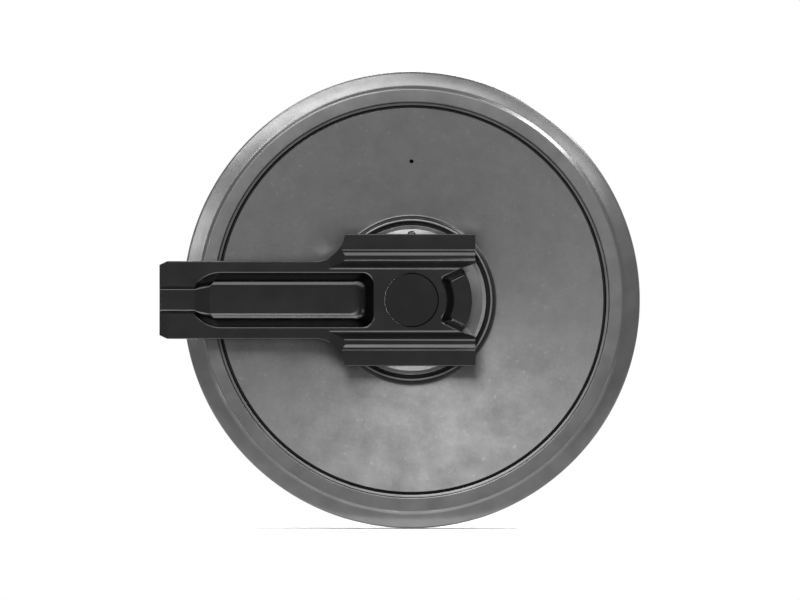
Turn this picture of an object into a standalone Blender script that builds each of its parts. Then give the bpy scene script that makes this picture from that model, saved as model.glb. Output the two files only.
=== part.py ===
# Front idler of a tracked excavator
#
# The axle lies along Y, the wheel's centre is the origin and the bracket arms reach to -X.
# A station is a distance from the wheel's middle plane along the axle. The front side is
# at -Y and the rear side at +Y, so a station on the front lies at the same value of -Y.

import math

import bmesh
import bpy
from mathutils import Matrix, Vector

# Clearances
SEAT_GAP = 0.0003
RUNNING_GAP = 0.0003
FACE_RUNNING_GAP = 0.001

# Facets round a turn
WHEEL_SEGMENTS = 64
HUB_SEGMENTS = 40
RING_SEGMENTS = 28
SECTION_SEGMENTS = 6

# Wheel
WHEEL_RADIUS = 0.300
FLANGE_HEIGHT = 0.0225
FLANGE_FOOT_WIDTH = 0.084
FLANGE_CREST_WIDTH = 0.066
FLANGE_FOOT_FILLET = 0.004
FLANGE_CREST_ROUND = 0.0035
RIM_WIDTH = 0.156
RIM_THICKNESS = 0.0254
RIM_EDGE_ROUND = 0.0015
RIM_RECESS_WIDTH = 0.0068
RIM_RECESS_SLOPE = 0.0028
WEB_INSET = 0.007
WEB_THICKNESS = 0.012
WEB_DISH = 0.012
WELD_GROOVE_WIDTH = 0.0032
WELD_GROOVE_DEPTH = 0.008
HUB_WELD_LEG = 0.004
VENT_RADIUS = 0.00265
VENT_HEIGHT = 0.182

# Hub
HUB_PROUD = 0.006
HUB_BODY_RADIUS = 0.070
HUB_FLARE = 0.008
HUB_BACKING = 0.005
HUB_LIP_WALL = 0.0035
LABYRINTH_WIDTH = 0.005
LABYRINTH_DEPTH = 0.010
COUNTERBORE_DEPTH = 0.0183
RESERVOIR_RELIEF = 0.004

# Bushings
BUSH_WALL = 0.0087
BUSH_LENGTH = 0.040
BUSH_FLANGE_WIDTH = 0.010
BUSH_FLANGE_THICKNESS = 0.004

# Floating seals
SEAL_FACE_OFFSET = 0.0035
SEAL_BORE_CLEARANCE = 0.011
SEAL_NECK_WALL = 0.0045
SEAL_FACE_WALL = 0.0125
SEAL_FACE_THICKNESS = 0.0034
SEAL_FACE_RIM = 0.0006
TORIC_SECTION = 0.0104
CAVITY_FLARE = 0.0045
HOUSING_WALL = 0.0365
HOUSING_FOOT = 0.004
HOUSING_CHAMFER = 0.005
HOUSING_CHAMFER_DROP = 0.001

# Axle
AXLE_RADIUS = 0.035
AXLE_CHAMFER = 0.0006
AXLE_WAIST_RELIEF = 0.001
OIL_PASSAGE_RADIUS = 0.005
OIL_PASSAGE_REACH = 0.020
CROSS_DRILL_RADIUS = 0.004
O_RING_SECTION = 0.0032
O_RING_SETBACK = 0.003

# Filler plug
PLUG_RADIUS = 0.008
PLUG_LENGTH = 0.016
PLUG_HEAD_RADIUS = 0.012
PLUG_HEAD_THICKNESS = 0.0044
PLUG_SUNK = 0.0005
PLUG_SOCKET_WIDTH = 0.010
PLUG_SOCKET_DEPTH = 0.0055
WASHER_THICKNESS = 0.0015

# Bracket, in the plan seen along the axle
ARM_REACH = 0.330
ARM_HEIGHT = 0.102
ARM_END_LENGTH = 0.0105
ARM_END_DROP = 0.005
BLOCK_BACK = 0.0868
BLOCK_FRONT = 0.0835
BLOCK_HEIGHT = 0.173
GUSSET_RADIUS = 0.040
PAD_HEIGHT = 0.0826
BOSS_WALL = 0.013

# Bracket, along the axle
PLATE_CLEARANCE = 0.016
PLATE_THICKNESS = 0.042
LEDGE_RISE = 0.008

# Guide grooves of the bracket
GROOVE_DEPTH = 0.0125
GROOVE_RAMP_LENGTH = 0.021
GROOVE_WALL_RUN = 0.0105
# How far the hollow wall turns between its lip and its foot
GROOVE_WALL_BEND = math.radians(16)
GROOVE_FLOOR_WIDTH = 0.0065
GROOVE_LIP_RUN = 0.0032
GROOVE_LIP_RISE = 0.0015
GROOVE_LEDGE_WIDTH = 0.004
BAND_RISE = 0.0027

# Channel in the arm
CHANNEL_HEIGHT = 0.0736
CHANNEL_WALL = 0.0134
CHANNEL_CORNER = 0.015
CHANNEL_DEPTH = 0.020
CHANNEL_DRAFT = 0.0193
CHANNEL_END_DRAFT = 0.0215
CHANNEL_MOUTH = 0.250
SLOT_START = 0.284
SLOT_HEIGHT = 0.0376
SLOT_DEPTH = 0.010
SLOT_DRAFT = 0.0063
RAMP_FOOT = 0.2638
# How much of a quarter circle the mouth's curved sides take up
MOUTH_BEND = 0.8
# Levels of the channel's rounded floor, as shares of its draft and of its depth
CHANNEL_LEVELS = ((0.0, 0.0), (0.48, 0.70), (0.71, 0.92), (1.0, 1.0))

# Scalloped pocket at the front of the block
SCALLOP_WALL = 0.011
SCALLOP_DRAFT = 0.009
SCALLOP_SPREAD = math.radians(26)
SCALLOP_CORNER = 0.006
NOTCH_LEG = 0.0125

# Lock pins and the bolt holes for the recoil yoke
PIN_RADIUS = 0.00525
PIN_PROUD = 0.004
PIN_DEPTH = 0.020
PIN_STATION_FROM_PLATE = 0.014
YOKE_HOLE_RADIUS = 0.007
YOKE_HOLE_DEPTH = 0.030
YOKE_HOLE_SPACING = 0.060
YOKE_HOLE_STATION_FROM_PLATE = 0.019

# How far a cutter reaches past the surface that it opens
OVERCUT = 0.005

# Radii that follow from the driving dimensions
TREAD_RADIUS = WHEEL_RADIUS - FLANGE_HEIGHT
RIM_BORE = TREAD_RADIUS - RIM_THICKNESS
WEB_RADIUS = RIM_BORE - SEAT_GAP
AXLE_BORE = AXLE_RADIUS + RUNNING_GAP
BUSH_RADIUS = AXLE_BORE + BUSH_WALL
HUB_BORE = BUSH_RADIUS + SEAT_GAP
SEAL_BORE = AXLE_RADIUS + SEAL_BORE_CLEARANCE
SEAL_NECK_RADIUS = SEAL_BORE + SEAL_NECK_WALL
SEAL_FACE_RADIUS = SEAL_BORE + SEAL_FACE_WALL
TORIC_RADIUS = SEAL_NECK_RADIUS + SEAT_GAP + TORIC_SECTION / 2
CAVITY_RADIUS = TORIC_RADIUS + TORIC_SECTION / 2 + SEAT_GAP
CAVITY_MOUTH = CAVITY_RADIUS + CAVITY_FLARE
HOUSING_RADIUS = CAVITY_RADIUS + HOUSING_WALL
LABYRINTH_RADIUS = HOUSING_RADIUS + LABYRINTH_WIDTH
HUB_RADIUS = LABYRINTH_RADIUS + HUB_LIP_WALL
BOSS_RADIUS = CAVITY_MOUTH + BOSS_WALL
PIN_HOLE_RADIUS = PIN_RADIUS + SEAT_GAP
PLUG_SEAT_RADIUS = PLUG_HEAD_RADIUS + SEAT_GAP

# Stations that follow from the driving dimensions
RIM_END = RIM_WIDTH / 2
WEB_FACE = RIM_END - WEB_INSET
WEB_BACK = WEB_FACE - WEB_THICKNESS
WEB_INNER_FACE = WEB_FACE - WEB_DISH
WEB_INNER_BACK = WEB_BACK - WEB_DISH
HUB_END = RIM_END + HUB_PROUD
HUB_FLOOR = HUB_END - COUNTERBORE_DEPTH
SEAL_FACE = HUB_END + SEAL_FACE_OFFSET
HOUSING_END = SEAL_FACE - FACE_RUNNING_GAP
BOSS_FACE = SEAL_FACE + FACE_RUNNING_GAP
TORIC_SETBACK = SEAL_FACE_THICKNESS + SEAL_FACE_RIM + TORIC_SECTION / 2 + 2 * SEAT_GAP
SEAL_BACK = TORIC_SETBACK + TORIC_SECTION / 2
PLATE_BACK = HUB_END + PLATE_CLEARANCE
PLATE_FACE = PLATE_BACK + PLATE_THICKNESS
CAVITY_FLOOR = SEAL_FACE + SEAL_BACK + SEAT_GAP
LEDGE_FACE = PLATE_BACK + LEDGE_RISE
GROOVE_FLOOR = PLATE_FACE - GROOVE_DEPTH
BAND_FACE = GROOVE_FLOOR + BAND_RISE
PIN_STATION = PLATE_BACK + PIN_STATION_FROM_PLATE
O_RING_GROOVE = O_RING_SECTION + 2 * SEAT_GAP
O_RING_STATION = CAVITY_FLOOR + O_RING_SETBACK
YOKE_HOLE_STATION = PLATE_BACK + YOKE_HOLE_STATION_FROM_PLATE

FRONT = -1
REAR = 1
SIDES = (("front", FRONT), ("rear", REAR))


def clear_scene():
    """Remove every object that the scene starts with."""
    for old in list(bpy.data.objects):
        bpy.data.objects.remove(old, do_unlink=True)


def new_collection(name):
    """Add a collection to the scene."""
    collection = bpy.data.collections.new(name)
    bpy.context.scene.collection.children.link(collection)
    return collection


def new_material(name, colour, metallic, roughness):
    """Make a plain Principled material."""
    material = bpy.data.materials.new(name)
    material.use_nodes = True
    shader = material.node_tree.nodes["Principled BSDF"]
    shader.inputs["Base Color"].default_value = (*colour, 1.0)
    shader.inputs["Metallic"].default_value = metallic
    shader.inputs["Roughness"].default_value = roughness
    return material


def arc(centre, radius, start, end, steps):
    """Points along an arc, both ends included; angles in degrees."""
    points = []
    for step in range(steps + 1):
        angle = math.radians(start + (end - start) * step / steps)
        points.append((centre[0] + radius * math.cos(angle), centre[1] + radius * math.sin(angle)))
    return points


class Workshop:
    """Makes the pieces and keeps the collections and materials that they share."""

    def __init__(self):
        self.parts = new_collection("front_idler")
        self.cutters = new_collection("cutters")
        self.materials = {
            "cast_grey": new_material("cast_grey", (0.16, 0.16, 0.165), 0.85, 0.45),
            "machined": new_material("machined", (0.42, 0.42, 0.43), 1.0, 0.28),
            "black_paint": new_material("black_paint", (0.018, 0.018, 0.019), 0.1, 0.42),
            "bronze": new_material("bronze", (0.42, 0.26, 0.10), 1.0, 0.35),
            "rubber": new_material("rubber", (0.02, 0.02, 0.02), 0.0, 0.7),
            "copper": new_material("copper", (0.52, 0.24, 0.13), 1.0, 0.35),
        }

    def add(self, name, mesh, material):
        """Put a mesh in the scene as a finished piece."""
        piece = bpy.data.objects.new(name, mesh)
        self.parts.objects.link(piece)
        mesh.materials.append(self.materials[material])
        mesh.shade_smooth()
        mesh.set_sharp_from_angle(angle=math.radians(30))
        return piece

    def add_cutter(self, name, mesh):
        """Put a mesh in the scene as a cutter that isn't part of the object."""
        cutter = bpy.data.objects.new(name, mesh)
        self.cutters.objects.link(cutter)
        cutter.hide_render = True
        cutter.display_type = "WIRE"
        return cutter

    def turned(self, name, profile, side, segments, material):
        """Turn a profile of (radius, station) points about the axle.

        The profile runs down its outer side, from high stations to low ones. A profile
        whose ends aren't on the axle is closed into a ring.
        """
        mesh = bpy.data.meshes.new(name)
        points = [(radius, 0.0, station) for radius, station in profile]
        edges = [(index, index + 1) for index in range(len(points) - 1)]
        if profile[0][0] > 0:
            edges.append((len(points) - 1, 0))
        mesh.from_pydata(points, edges, [])
        piece = self.add(name, mesh, material)
        piece.rotation_euler.x = -side * math.pi / 2
        turn = piece.modifiers.new("turn", "SCREW")
        turn.axis = "Z"
        turn.steps = segments
        turn.render_steps = segments
        turn.use_merge_vertices = True
        turn.merge_threshold = 0.00005
        turn.use_smooth_shade = True
        return piece

    def ring(self, name, radius, section, station, side, material):
        """Make a rubber ring of round section about the axle."""
        profile = [
            (radius + offset, station + height)
            for offset, height in arc((0.0, 0.0), section / 2, 180, -180, SECTION_SEGMENTS)[:-1]
        ]
        return self.turned(name, profile, side, RING_SEGMENTS, material)

    def cut(self, piece, cutter, operation="DIFFERENCE"):
        """Cut a piece with a cutter, or join the cutter to it."""
        boolean = piece.modifiers.new(cutter.name, "BOOLEAN")
        boolean.operation = operation
        boolean.object = cutter
        boolean.solver = "EXACT"


def mesh_from_bmesh(name, shape):
    """Turn a bmesh into a mesh with its faces pointing out."""
    bmesh.ops.recalc_face_normals(shape, faces=shape.faces)
    mesh = bpy.data.meshes.new(name)
    shape.to_mesh(mesh)
    shape.free()
    return mesh


def prism(name, outline, place, low, high):
    """Extrude an outline; place(point, level) gives each corner's position."""
    return loft(name, [[place(point, low) for point in outline], [place(point, high) for point in outline]])


def loft(name, rings):
    """Join rings of equally many points into a closed body with flat ends."""
    shape = bmesh.new()
    loops = [[shape.verts.new(point) for point in ring] for ring in rings]
    count = len(loops[0])
    for lower, upper in zip(loops, loops[1:]):
        for index in range(count):
            following = (index + 1) % count
            shape.faces.new((lower[index], lower[following], upper[following], upper[index]))
    shape.faces.new(loops[0])
    shape.faces.new(loops[-1])
    return mesh_from_bmesh(name, shape)


def rod(name, radius, start, end, segments):
    """Make a cylinder between two points."""
    start = Vector(start)
    end = Vector(end)
    axis = end - start
    turn = axis.to_track_quat("Z", "Y").to_matrix().to_4x4()
    shape = bmesh.new()
    bmesh.ops.create_cone(
        shape,
        cap_ends=True,
        segments=segments,
        radius1=radius,
        radius2=radius,
        depth=axis.length,
        matrix=Matrix.Translation((start + end) / 2) @ turn,
    )
    return mesh_from_bmesh(name, shape)


def rim_profile():
    """Section of the rim: tread, centre guide flange and the recess for each web plate."""
    foot = FLANGE_FOOT_WIDTH / 2
    crest = FLANGE_CREST_WIDTH / 2
    half = [
        (WHEEL_RADIUS, crest - FLANGE_CREST_ROUND),
        (WHEEL_RADIUS - FLANGE_CREST_ROUND, crest),
        (TREAD_RADIUS + FLANGE_FOOT_FILLET, foot - FLANGE_FOOT_FILLET / 2),
        (TREAD_RADIUS, foot + FLANGE_FOOT_FILLET / 2),
        (TREAD_RADIUS, RIM_END - RIM_EDGE_ROUND),
        (TREAD_RADIUS - RIM_EDGE_ROUND, RIM_END),
        (RIM_BORE + RIM_RECESS_WIDTH + RIM_RECESS_SLOPE, RIM_END),
        (RIM_BORE + RIM_RECESS_WIDTH, WEB_FACE),
        (RIM_BORE + WELD_GROOVE_WIDTH, WEB_FACE),
        (RIM_BORE, WEB_FACE - WELD_GROOVE_DEPTH),
    ]
    mirrored = [(radius, -station) for radius, station in half]
    return list(reversed(half)) + mirrored


def build_rim(shop):
    """Forged rim with the raised flange that runs between the track links."""
    shop.turned("rim", rim_profile(), FRONT, WHEEL_SEGMENTS, "cast_grey")


def build_web_plate(shop, end, side):
    """Dished disc between rim and hub, with its weld fillet round the hub."""
    bore = HUB_RADIUS + SEAT_GAP
    slope = WEB_DISH / (WEB_RADIUS - bore)
    profile = [
        (bore, WEB_INNER_FACE + HUB_WELD_LEG),
        (bore + HUB_WELD_LEG, WEB_INNER_FACE + slope * HUB_WELD_LEG),
        (WEB_RADIUS, WEB_FACE),
        (WEB_RADIUS, WEB_BACK),
        (bore, WEB_INNER_BACK),
    ]
    plate = shop.turned(f"web_plate_{end}", profile, side, WHEEL_SEGMENTS, "cast_grey")
    if side == FRONT:
        start = (0.0, side * (WEB_INNER_BACK - OVERCUT), VENT_HEIGHT)
        finish = (0.0, side * (WEB_FACE + OVERCUT), VENT_HEIGHT)
        shop.cut(plate, shop.add_cutter("vent_drill", rod("vent_drill", VENT_RADIUS, start, finish, 12)))


def build_hub(shop):
    """Hub tube with a bushing seat, seal counterbore and guard lip at each end."""
    flare_top = WEB_INNER_BACK - HUB_BACKING
    bush_foot = HUB_FLOOR - BUSH_LENGTH
    reservoir = HUB_BORE + RESERVOIR_RELIEF
    half = [
        (HUB_BODY_RADIUS, flare_top - HUB_FLARE),
        (HUB_RADIUS, flare_top),
        (HUB_RADIUS, HUB_END),
        (LABYRINTH_RADIUS, HUB_END),
        (LABYRINTH_RADIUS, HUB_END - LABYRINTH_DEPTH),
        (HOUSING_RADIUS + SEAT_GAP, HUB_END - LABYRINTH_DEPTH),
        (HOUSING_RADIUS + SEAT_GAP, HUB_FLOOR),
        (HUB_BORE, HUB_FLOOR),
        (HUB_BORE, bush_foot),
        (reservoir, bush_foot - RESERVOIR_RELIEF),
    ]
    mirrored = [(radius, -station) for radius, station in half]
    shop.turned("hub", list(reversed(half)) + mirrored, FRONT, HUB_SEGMENTS, "cast_grey")


def build_bushing(shop, end, side):
    """Flanged plain bearing, pressed into the hub."""
    flange_back = HUB_FLOOR + SEAT_GAP
    flange_face = flange_back + BUSH_FLANGE_THICKNESS
    profile = [
        (AXLE_BORE, flange_face),
        (BUSH_RADIUS + BUSH_FLANGE_WIDTH, flange_face),
        (BUSH_RADIUS + BUSH_FLANGE_WIDTH, flange_back),
        (BUSH_RADIUS, flange_back),
        (BUSH_RADIUS, HUB_FLOOR - BUSH_LENGTH),
        (AXLE_BORE, HUB_FLOOR - BUSH_LENGTH),
    ]
    shop.turned(f"bushing_{end}", profile, side, RING_SEGMENTS, "bronze")


def build_seal_housing(shop, end, side):
    """Steel ring in the hub end that carries the turning half of the seal."""
    back = HUB_FLOOR + SEAT_GAP
    foot = back + HOUSING_FOOT
    profile = [
        (CAVITY_MOUTH, HOUSING_END),
        (HOUSING_RADIUS - HOUSING_CHAMFER, HOUSING_END),
        (HOUSING_RADIUS, HOUSING_END - HOUSING_CHAMFER_DROP),
        (HOUSING_RADIUS, back),
        (CAVITY_RADIUS - CAVITY_FLARE, back),
        (CAVITY_RADIUS - CAVITY_FLARE, foot),
        (CAVITY_RADIUS, foot + CAVITY_FLARE / 2),
        (CAVITY_RADIUS, HOUSING_END - CAVITY_FLARE),
    ]
    shop.turned(f"seal_housing_{end}", profile, side, HUB_SEGMENTS, "machined")


def build_seal_half(shop, kind, end, side, outward):
    """One metal seal ring and its rubber ring; outward is 1 on the bracket's side."""
    face = SEAL_FACE + outward * SEAT_GAP / 2
    back = SEAL_FACE + outward * SEAL_BACK
    shoulder = face + outward * SEAL_FACE_THICKNESS
    profile = [
        (SEAL_BORE, face),
        (SEAL_FACE_RADIUS, face),
        (SEAL_FACE_RADIUS, shoulder),
        (SEAL_NECK_RADIUS, shoulder + outward * SEAL_FACE_RIM),
        (SEAL_NECK_RADIUS, back),
        (SEAL_BORE, back),
    ]
    if outward > 0:
        profile.reverse()
    shop.turned(f"{kind}_seal_ring_{end}", profile, side, RING_SEGMENTS, "machined")
    station = SEAL_FACE + outward * TORIC_SETBACK
    shop.ring(f"{kind}_toric_{end}", TORIC_RADIUS, TORIC_SECTION, station, side, "rubber")


def axle_profile():
    """Outer side and filler bore of the axle; high stations are the front end."""
    groove_floor = AXLE_RADIUS - O_RING_SECTION - SEAT_GAP + RUNNING_GAP
    groove_near = O_RING_STATION - O_RING_GROOVE / 2
    groove_far = O_RING_STATION + O_RING_GROOVE / 2
    waist = HUB_FLOOR - BUSH_LENGTH
    half = [
        (AXLE_RADIUS - AXLE_WAIST_RELIEF, waist - AXLE_WAIST_RELIEF),
        (AXLE_RADIUS, waist),
        (AXLE_RADIUS, groove_near),
        (groove_floor, groove_near),
        (groove_floor, groove_far),
        (AXLE_RADIUS, groove_far),
        (AXLE_RADIUS, PLATE_FACE - AXLE_CHAMFER),
        (AXLE_RADIUS - AXLE_CHAMFER, PLATE_FACE),
    ]
    mirrored = [(radius, -station) for radius, station in half]
    seat = plug_seat()
    bore = [
        (PLUG_SEAT_RADIUS, -PLATE_FACE),
        (PLUG_SEAT_RADIUS, -seat),
        (PLUG_RADIUS + SEAT_GAP, -seat),
        (PLUG_RADIUS + SEAT_GAP, -(seat - PLUG_LENGTH)),
        (OIL_PASSAGE_RADIUS, -(seat - PLUG_LENGTH) + OIL_PASSAGE_RADIUS),
        (OIL_PASSAGE_RADIUS, OIL_PASSAGE_REACH),
        (0.0, OIL_PASSAGE_REACH + OIL_PASSAGE_RADIUS / 2),
    ]
    return [(0.0, PLATE_FACE)] + list(reversed(half)) + mirrored + bore


def plug_seat():
    """Station of the face that the plug's washer rests on."""
    return PLATE_FACE - PLUG_SUNK - PLUG_HEAD_THICKNESS - WASHER_THICKNESS - 2 * SEAT_GAP


def build_axle(shop):
    """Fixed axle with oil passage, filler bore, O-ring grooves and lock-pin holes."""
    axle = shop.turned("axle", axle_profile(), FRONT, RING_SEGMENTS, "machined")
    reach = AXLE_RADIUS + OVERCUT
    drill = rod("cross_drill", CROSS_DRILL_RADIUS, (0.0, 0.0, -reach), (0.0, 0.0, reach), 12)
    shop.cut(axle, shop.add_cutter("cross_drill", drill))
    for end, side in SIDES:
        name = f"pin_seat_{end}"
        bottom = (0.0, side * PIN_STATION, AXLE_RADIUS - PIN_DEPTH - SEAT_GAP)
        top = (0.0, side * PIN_STATION, reach)
        shop.cut(axle, shop.add_cutter(name, rod(name, PIN_HOLE_RADIUS, bottom, top, 16)))
        shop.ring(
            f"axle_o_ring_{end}",
            AXLE_BORE - SEAT_GAP - O_RING_SECTION / 2,
            O_RING_SECTION,
            O_RING_STATION,
            side,
            "rubber",
        )


def build_plug(shop):
    """Oil filler plug with a hexagon socket, on a copper washer in the axle's rear end."""
    head_face = PLATE_FACE - PLUG_SUNK
    head_back = head_face - PLUG_HEAD_THICKNESS
    tip = plug_seat() - PLUG_LENGTH + SEAT_GAP
    profile = [
        (0.0, head_face),
        (PLUG_HEAD_RADIUS, head_face),
        (PLUG_HEAD_RADIUS, head_back),
        (PLUG_RADIUS, head_back),
        (PLUG_RADIUS, tip),
        (0.0, tip),
    ]
    plug = shop.turned("oil_plug", profile, REAR, 24, "machined")
    across_corners = PLUG_SOCKET_WIDTH / math.sqrt(3)
    start = (0.0, head_face - PLUG_SOCKET_DEPTH, 0.0)
    finish = (0.0, head_face + OVERCUT, 0.0)
    key = rod("plug_socket", across_corners, start, finish, 6)
    shop.cut(plug, shop.add_cutter("plug_socket", key))
    washer_low = plug_seat() + SEAT_GAP
    washer = [
        (PLUG_RADIUS + SEAT_GAP, washer_low + WASHER_THICKNESS),
        (PLUG_HEAD_RADIUS, washer_low + WASHER_THICKNESS),
        (PLUG_HEAD_RADIUS, washer_low),
        (PLUG_RADIUS + SEAT_GAP, washer_low),
    ]
    shop.turned("plug_washer", washer, REAR, 24, "copper")


def mirrored_outline(half):
    """Close a chain of points above the X axis with its mirror image below."""
    return half + [(x, -z) for x, z in reversed(half)]


def bracket_outline():
    """Plan of the casting: block, gussets and arm, from the front end round to the arm end."""
    block = BLOCK_HEIGHT / 2
    arm = ARM_HEIGHT / 2
    notch_x = BOSS_RADIUS * math.cos(SCALLOP_SPREAD)
    notch_z = BOSS_RADIUS * math.sin(SCALLOP_SPREAD)
    centre = (-BLOCK_BACK - GUSSET_RADIUS, arm + GUSSET_RADIUS)
    meeting = math.degrees(math.asin(min(0.0, (block - centre[1]) / GUSSET_RADIUS)))
    half = [
        (notch_x - NOTCH_LEG, notch_z - NOTCH_LEG),
        (BLOCK_FRONT, notch_z + BLOCK_FRONT - notch_x),
        (BLOCK_FRONT, block),
    ]
    if centre[1] < block:
        half.append((-BLOCK_BACK, block))
    half += arc(centre, GUSSET_RADIUS, meeting, -90, 7)
    half += [
        (-ARM_REACH + ARM_END_LENGTH, arm),
        (-ARM_REACH, arm - ARM_END_DROP),
    ]
    return mirrored_outline(half)


def groove_section():
    """Section of one guide groove as (height, station) points, with the space outside it."""
    pad = PAD_HEIGHT / 2
    floor_start = pad + GROOVE_WALL_RUN
    floor_end = floor_start + GROOVE_FLOOR_WIDTH
    lip_end = floor_end + GROOVE_LIP_RUN
    ledge_end = lip_end + GROOVE_LEDGE_WIDTH
    outside = BLOCK_HEIGHT / 2 + OVERCUT
    above = PLATE_FACE + OVERCUT
    chord = math.hypot(GROOVE_WALL_RUN, GROOVE_DEPTH)
    hollow = chord / 2 / math.sin(GROOVE_WALL_BEND / 2)
    steep = math.atan2(GROOVE_DEPTH, GROOVE_WALL_RUN) + GROOVE_WALL_BEND / 2
    wall = []
    for step in range(4):
        slope = steep - GROOVE_WALL_BEND * step / 3
        height = pad + hollow * (math.sin(steep) - math.sin(slope))
        wall.append((height, PLATE_FACE - hollow * (math.cos(slope) - math.cos(steep))))
    return [
        (pad, above),
        *wall,
        (floor_end, GROOVE_FLOOR),
        (lip_end, GROOVE_FLOOR + GROOVE_LIP_RISE),
        (ledge_end, GROOVE_FLOOR + GROOVE_LIP_RISE),
        (ledge_end, BAND_FACE),
        (outside, BAND_FACE),
        (outside, above),
    ]


def groove_cutter(name, side, up):
    """Cutter for the groove above (up = 1) or below the pad, with a ramped inner end."""
    ramp = GROOVE_RAMP_LENGTH / GROOVE_DEPTH
    inner = []
    outer = []
    for height, station in groove_section():
        start = -BLOCK_BACK - ramp * (station - GROOVE_FLOOR)
        inner.append((start, side * station, up * height))
        outer.append((BLOCK_FRONT + OVERCUT, side * station, up * height))
    return loft(name, [inner, outer])


def channel_chain(inset, depth):
    """Upper half of the channel's outline at one depth, as (x, z, depth) points.

    inset runs from 0 at the arm's face to 1 at the floor, and depth likewise.
    """
    end = AXLE_BORE + CHANNEL_WALL + inset * CHANNEL_END_DRAFT
    height = CHANNEL_HEIGHT / 2 - inset * CHANNEL_DRAFT
    corner = CHANNEL_CORNER - inset * (CHANNEL_CORNER - SCALLOP_CORNER)
    mouth = CHANNEL_MOUTH + inset * (RAMP_FOOT - CHANNEL_MOUTH)
    slot_height = SLOT_HEIGHT / 2 - inset * SLOT_DRAFT
    chain = [
        (x, z, depth * CHANNEL_DEPTH)
        for x, z in arc((-end - corner, height - corner), corner, 0, 90, 4)
    ]
    run = SLOT_START - mouth
    fall = height - slot_height
    full_bend = 1 - math.sqrt(1 - MOUTH_BEND ** 2)
    for step in range(7):
        share = step / 6
        bend = 1 - math.sqrt(1 - (share * MOUTH_BEND) ** 2)
        drop = share * inset + bend / full_bend * (1 - inset)
        level = CHANNEL_DEPTH + (SLOT_DEPTH - CHANNEL_DEPTH) * share
        chain.append((-mouth - share * run, height - drop * fall, depth * level))
    chain.append((-ARM_REACH - OVERCUT, slot_height, depth * SLOT_DEPTH))
    return chain


def channel_cutter(name, side):
    """Cutter for the drafted channel in the arm and the shallow slot that leads out of it."""
    shape = bmesh.new()
    rows = [channel_chain(0.0, 0.0)]
    for inset, depth in CHANNEL_LEVELS:
        rows.append(channel_chain(inset, depth))
    rings = []
    for index, row in enumerate(rows):
        lift = OVERCUT if index == 0 else 0.0
        upper = [shape.verts.new((x, side * (PLATE_FACE + lift - depth), z)) for x, z, depth in row]
        lower = [shape.verts.new((x, side * (PLATE_FACE + lift - depth), -z)) for x, z, depth in row]
        rings.append((upper, lower))
    last = len(rows[0]) - 1
    for near, far in zip(rings, rings[1:]):
        for above, below in zip(near, far):
            for index in range(last):
                shape.faces.new((above[index], above[index + 1], below[index + 1], below[index]))
        for index in (0, last):
            shape.faces.new((near[0][index], near[1][index], far[1][index], far[0][index]))
    for upper, lower in (rings[0], rings[-1]):
        for index in range(last):
            shape.faces.new((upper[index], upper[index + 1], lower[index + 1], lower[index]))
    return mesh_from_bmesh(name, shape)


def scallop_chain(offset):
    """Upper half of the pocket's outline: an arc about the axle, then a flank going outward."""
    radius = AXLE_BORE + SCALLOP_WALL + SCALLOP_DRAFT - offset
    along = Vector((math.cos(SCALLOP_SPREAD), math.sin(SCALLOP_SPREAD)))
    across = Vector((-along.y, along.x))
    corner = SCALLOP_CORNER
    rise = offset - corner
    reach = math.sqrt((radius + corner) ** 2 - rise ** 2)
    centre = along * reach + across * rise
    bearing = math.atan2(centre.y, centre.x)
    chain = [(radius * math.cos(bearing * share), radius * math.sin(bearing * share)) for share in (0.0, 0.35, 0.7)]
    start = math.degrees(bearing) + 180
    chain += arc(centre, corner, start, math.degrees(SCALLOP_SPREAD) + 90, 4)
    far = along * (BLOCK_FRONT + BOSS_RADIUS) + across * offset
    chain.append((far.x, far.y))
    return chain


def scallop_cutter(name, side):
    """Cutter for the drafted pocket between the axle collar and the boss ledge."""
    rings = []
    for offset, station in (
        (0.0, LEDGE_FACE),
        (SCALLOP_DRAFT, PLATE_FACE),
        (SCALLOP_DRAFT, PLATE_FACE + OVERCUT),
    ):
        half = scallop_chain(offset)
        outline = half + [(x, -z) for x, z in reversed(half[1:])]
        rings.append([(x, side * station, z) for x, z in outline])
    return loft(name, rings)


def arm_end_cutter(name, side):
    """Wedge that chamfers the outer edge of the arm's end face."""
    low = PLATE_FACE - ARM_END_DROP
    slope = ARM_END_LENGTH / ARM_END_DROP
    outline = [
        (-ARM_REACH - slope * OVERCUT, low - OVERCUT),
        (-ARM_REACH + ARM_END_LENGTH + slope * OVERCUT, PLATE_FACE + OVERCUT),
        (-ARM_REACH - slope * OVERCUT, PLATE_FACE + OVERCUT),
    ]
    wide = ARM_HEIGHT / 2 + OVERCUT
    return prism(name, outline, lambda point, level: (point[0], side * point[1], level), -wide, wide)


def seal_pocket_cutter(name, side):
    """Cutter for the seal cavity in the boss and the axle bore behind it."""
    flare_end = BOSS_FACE + CAVITY_FLARE
    steps = (
        (CAVITY_MOUTH + OVERCUT, BOSS_FACE - OVERCUT),
        (CAVITY_RADIUS, flare_end),
        (CAVITY_RADIUS, CAVITY_FLOOR),
        (AXLE_BORE, CAVITY_FLOOR),
        (AXLE_BORE, PLATE_FACE + OVERCUT),
    )
    rings = []
    for radius, station in steps:
        ring = arc((0.0, 0.0), radius, 0, 360, RING_SEGMENTS)[:-1]
        rings.append([(x, side * station, z) for x, z in ring])
    return loft(name, rings)


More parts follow.
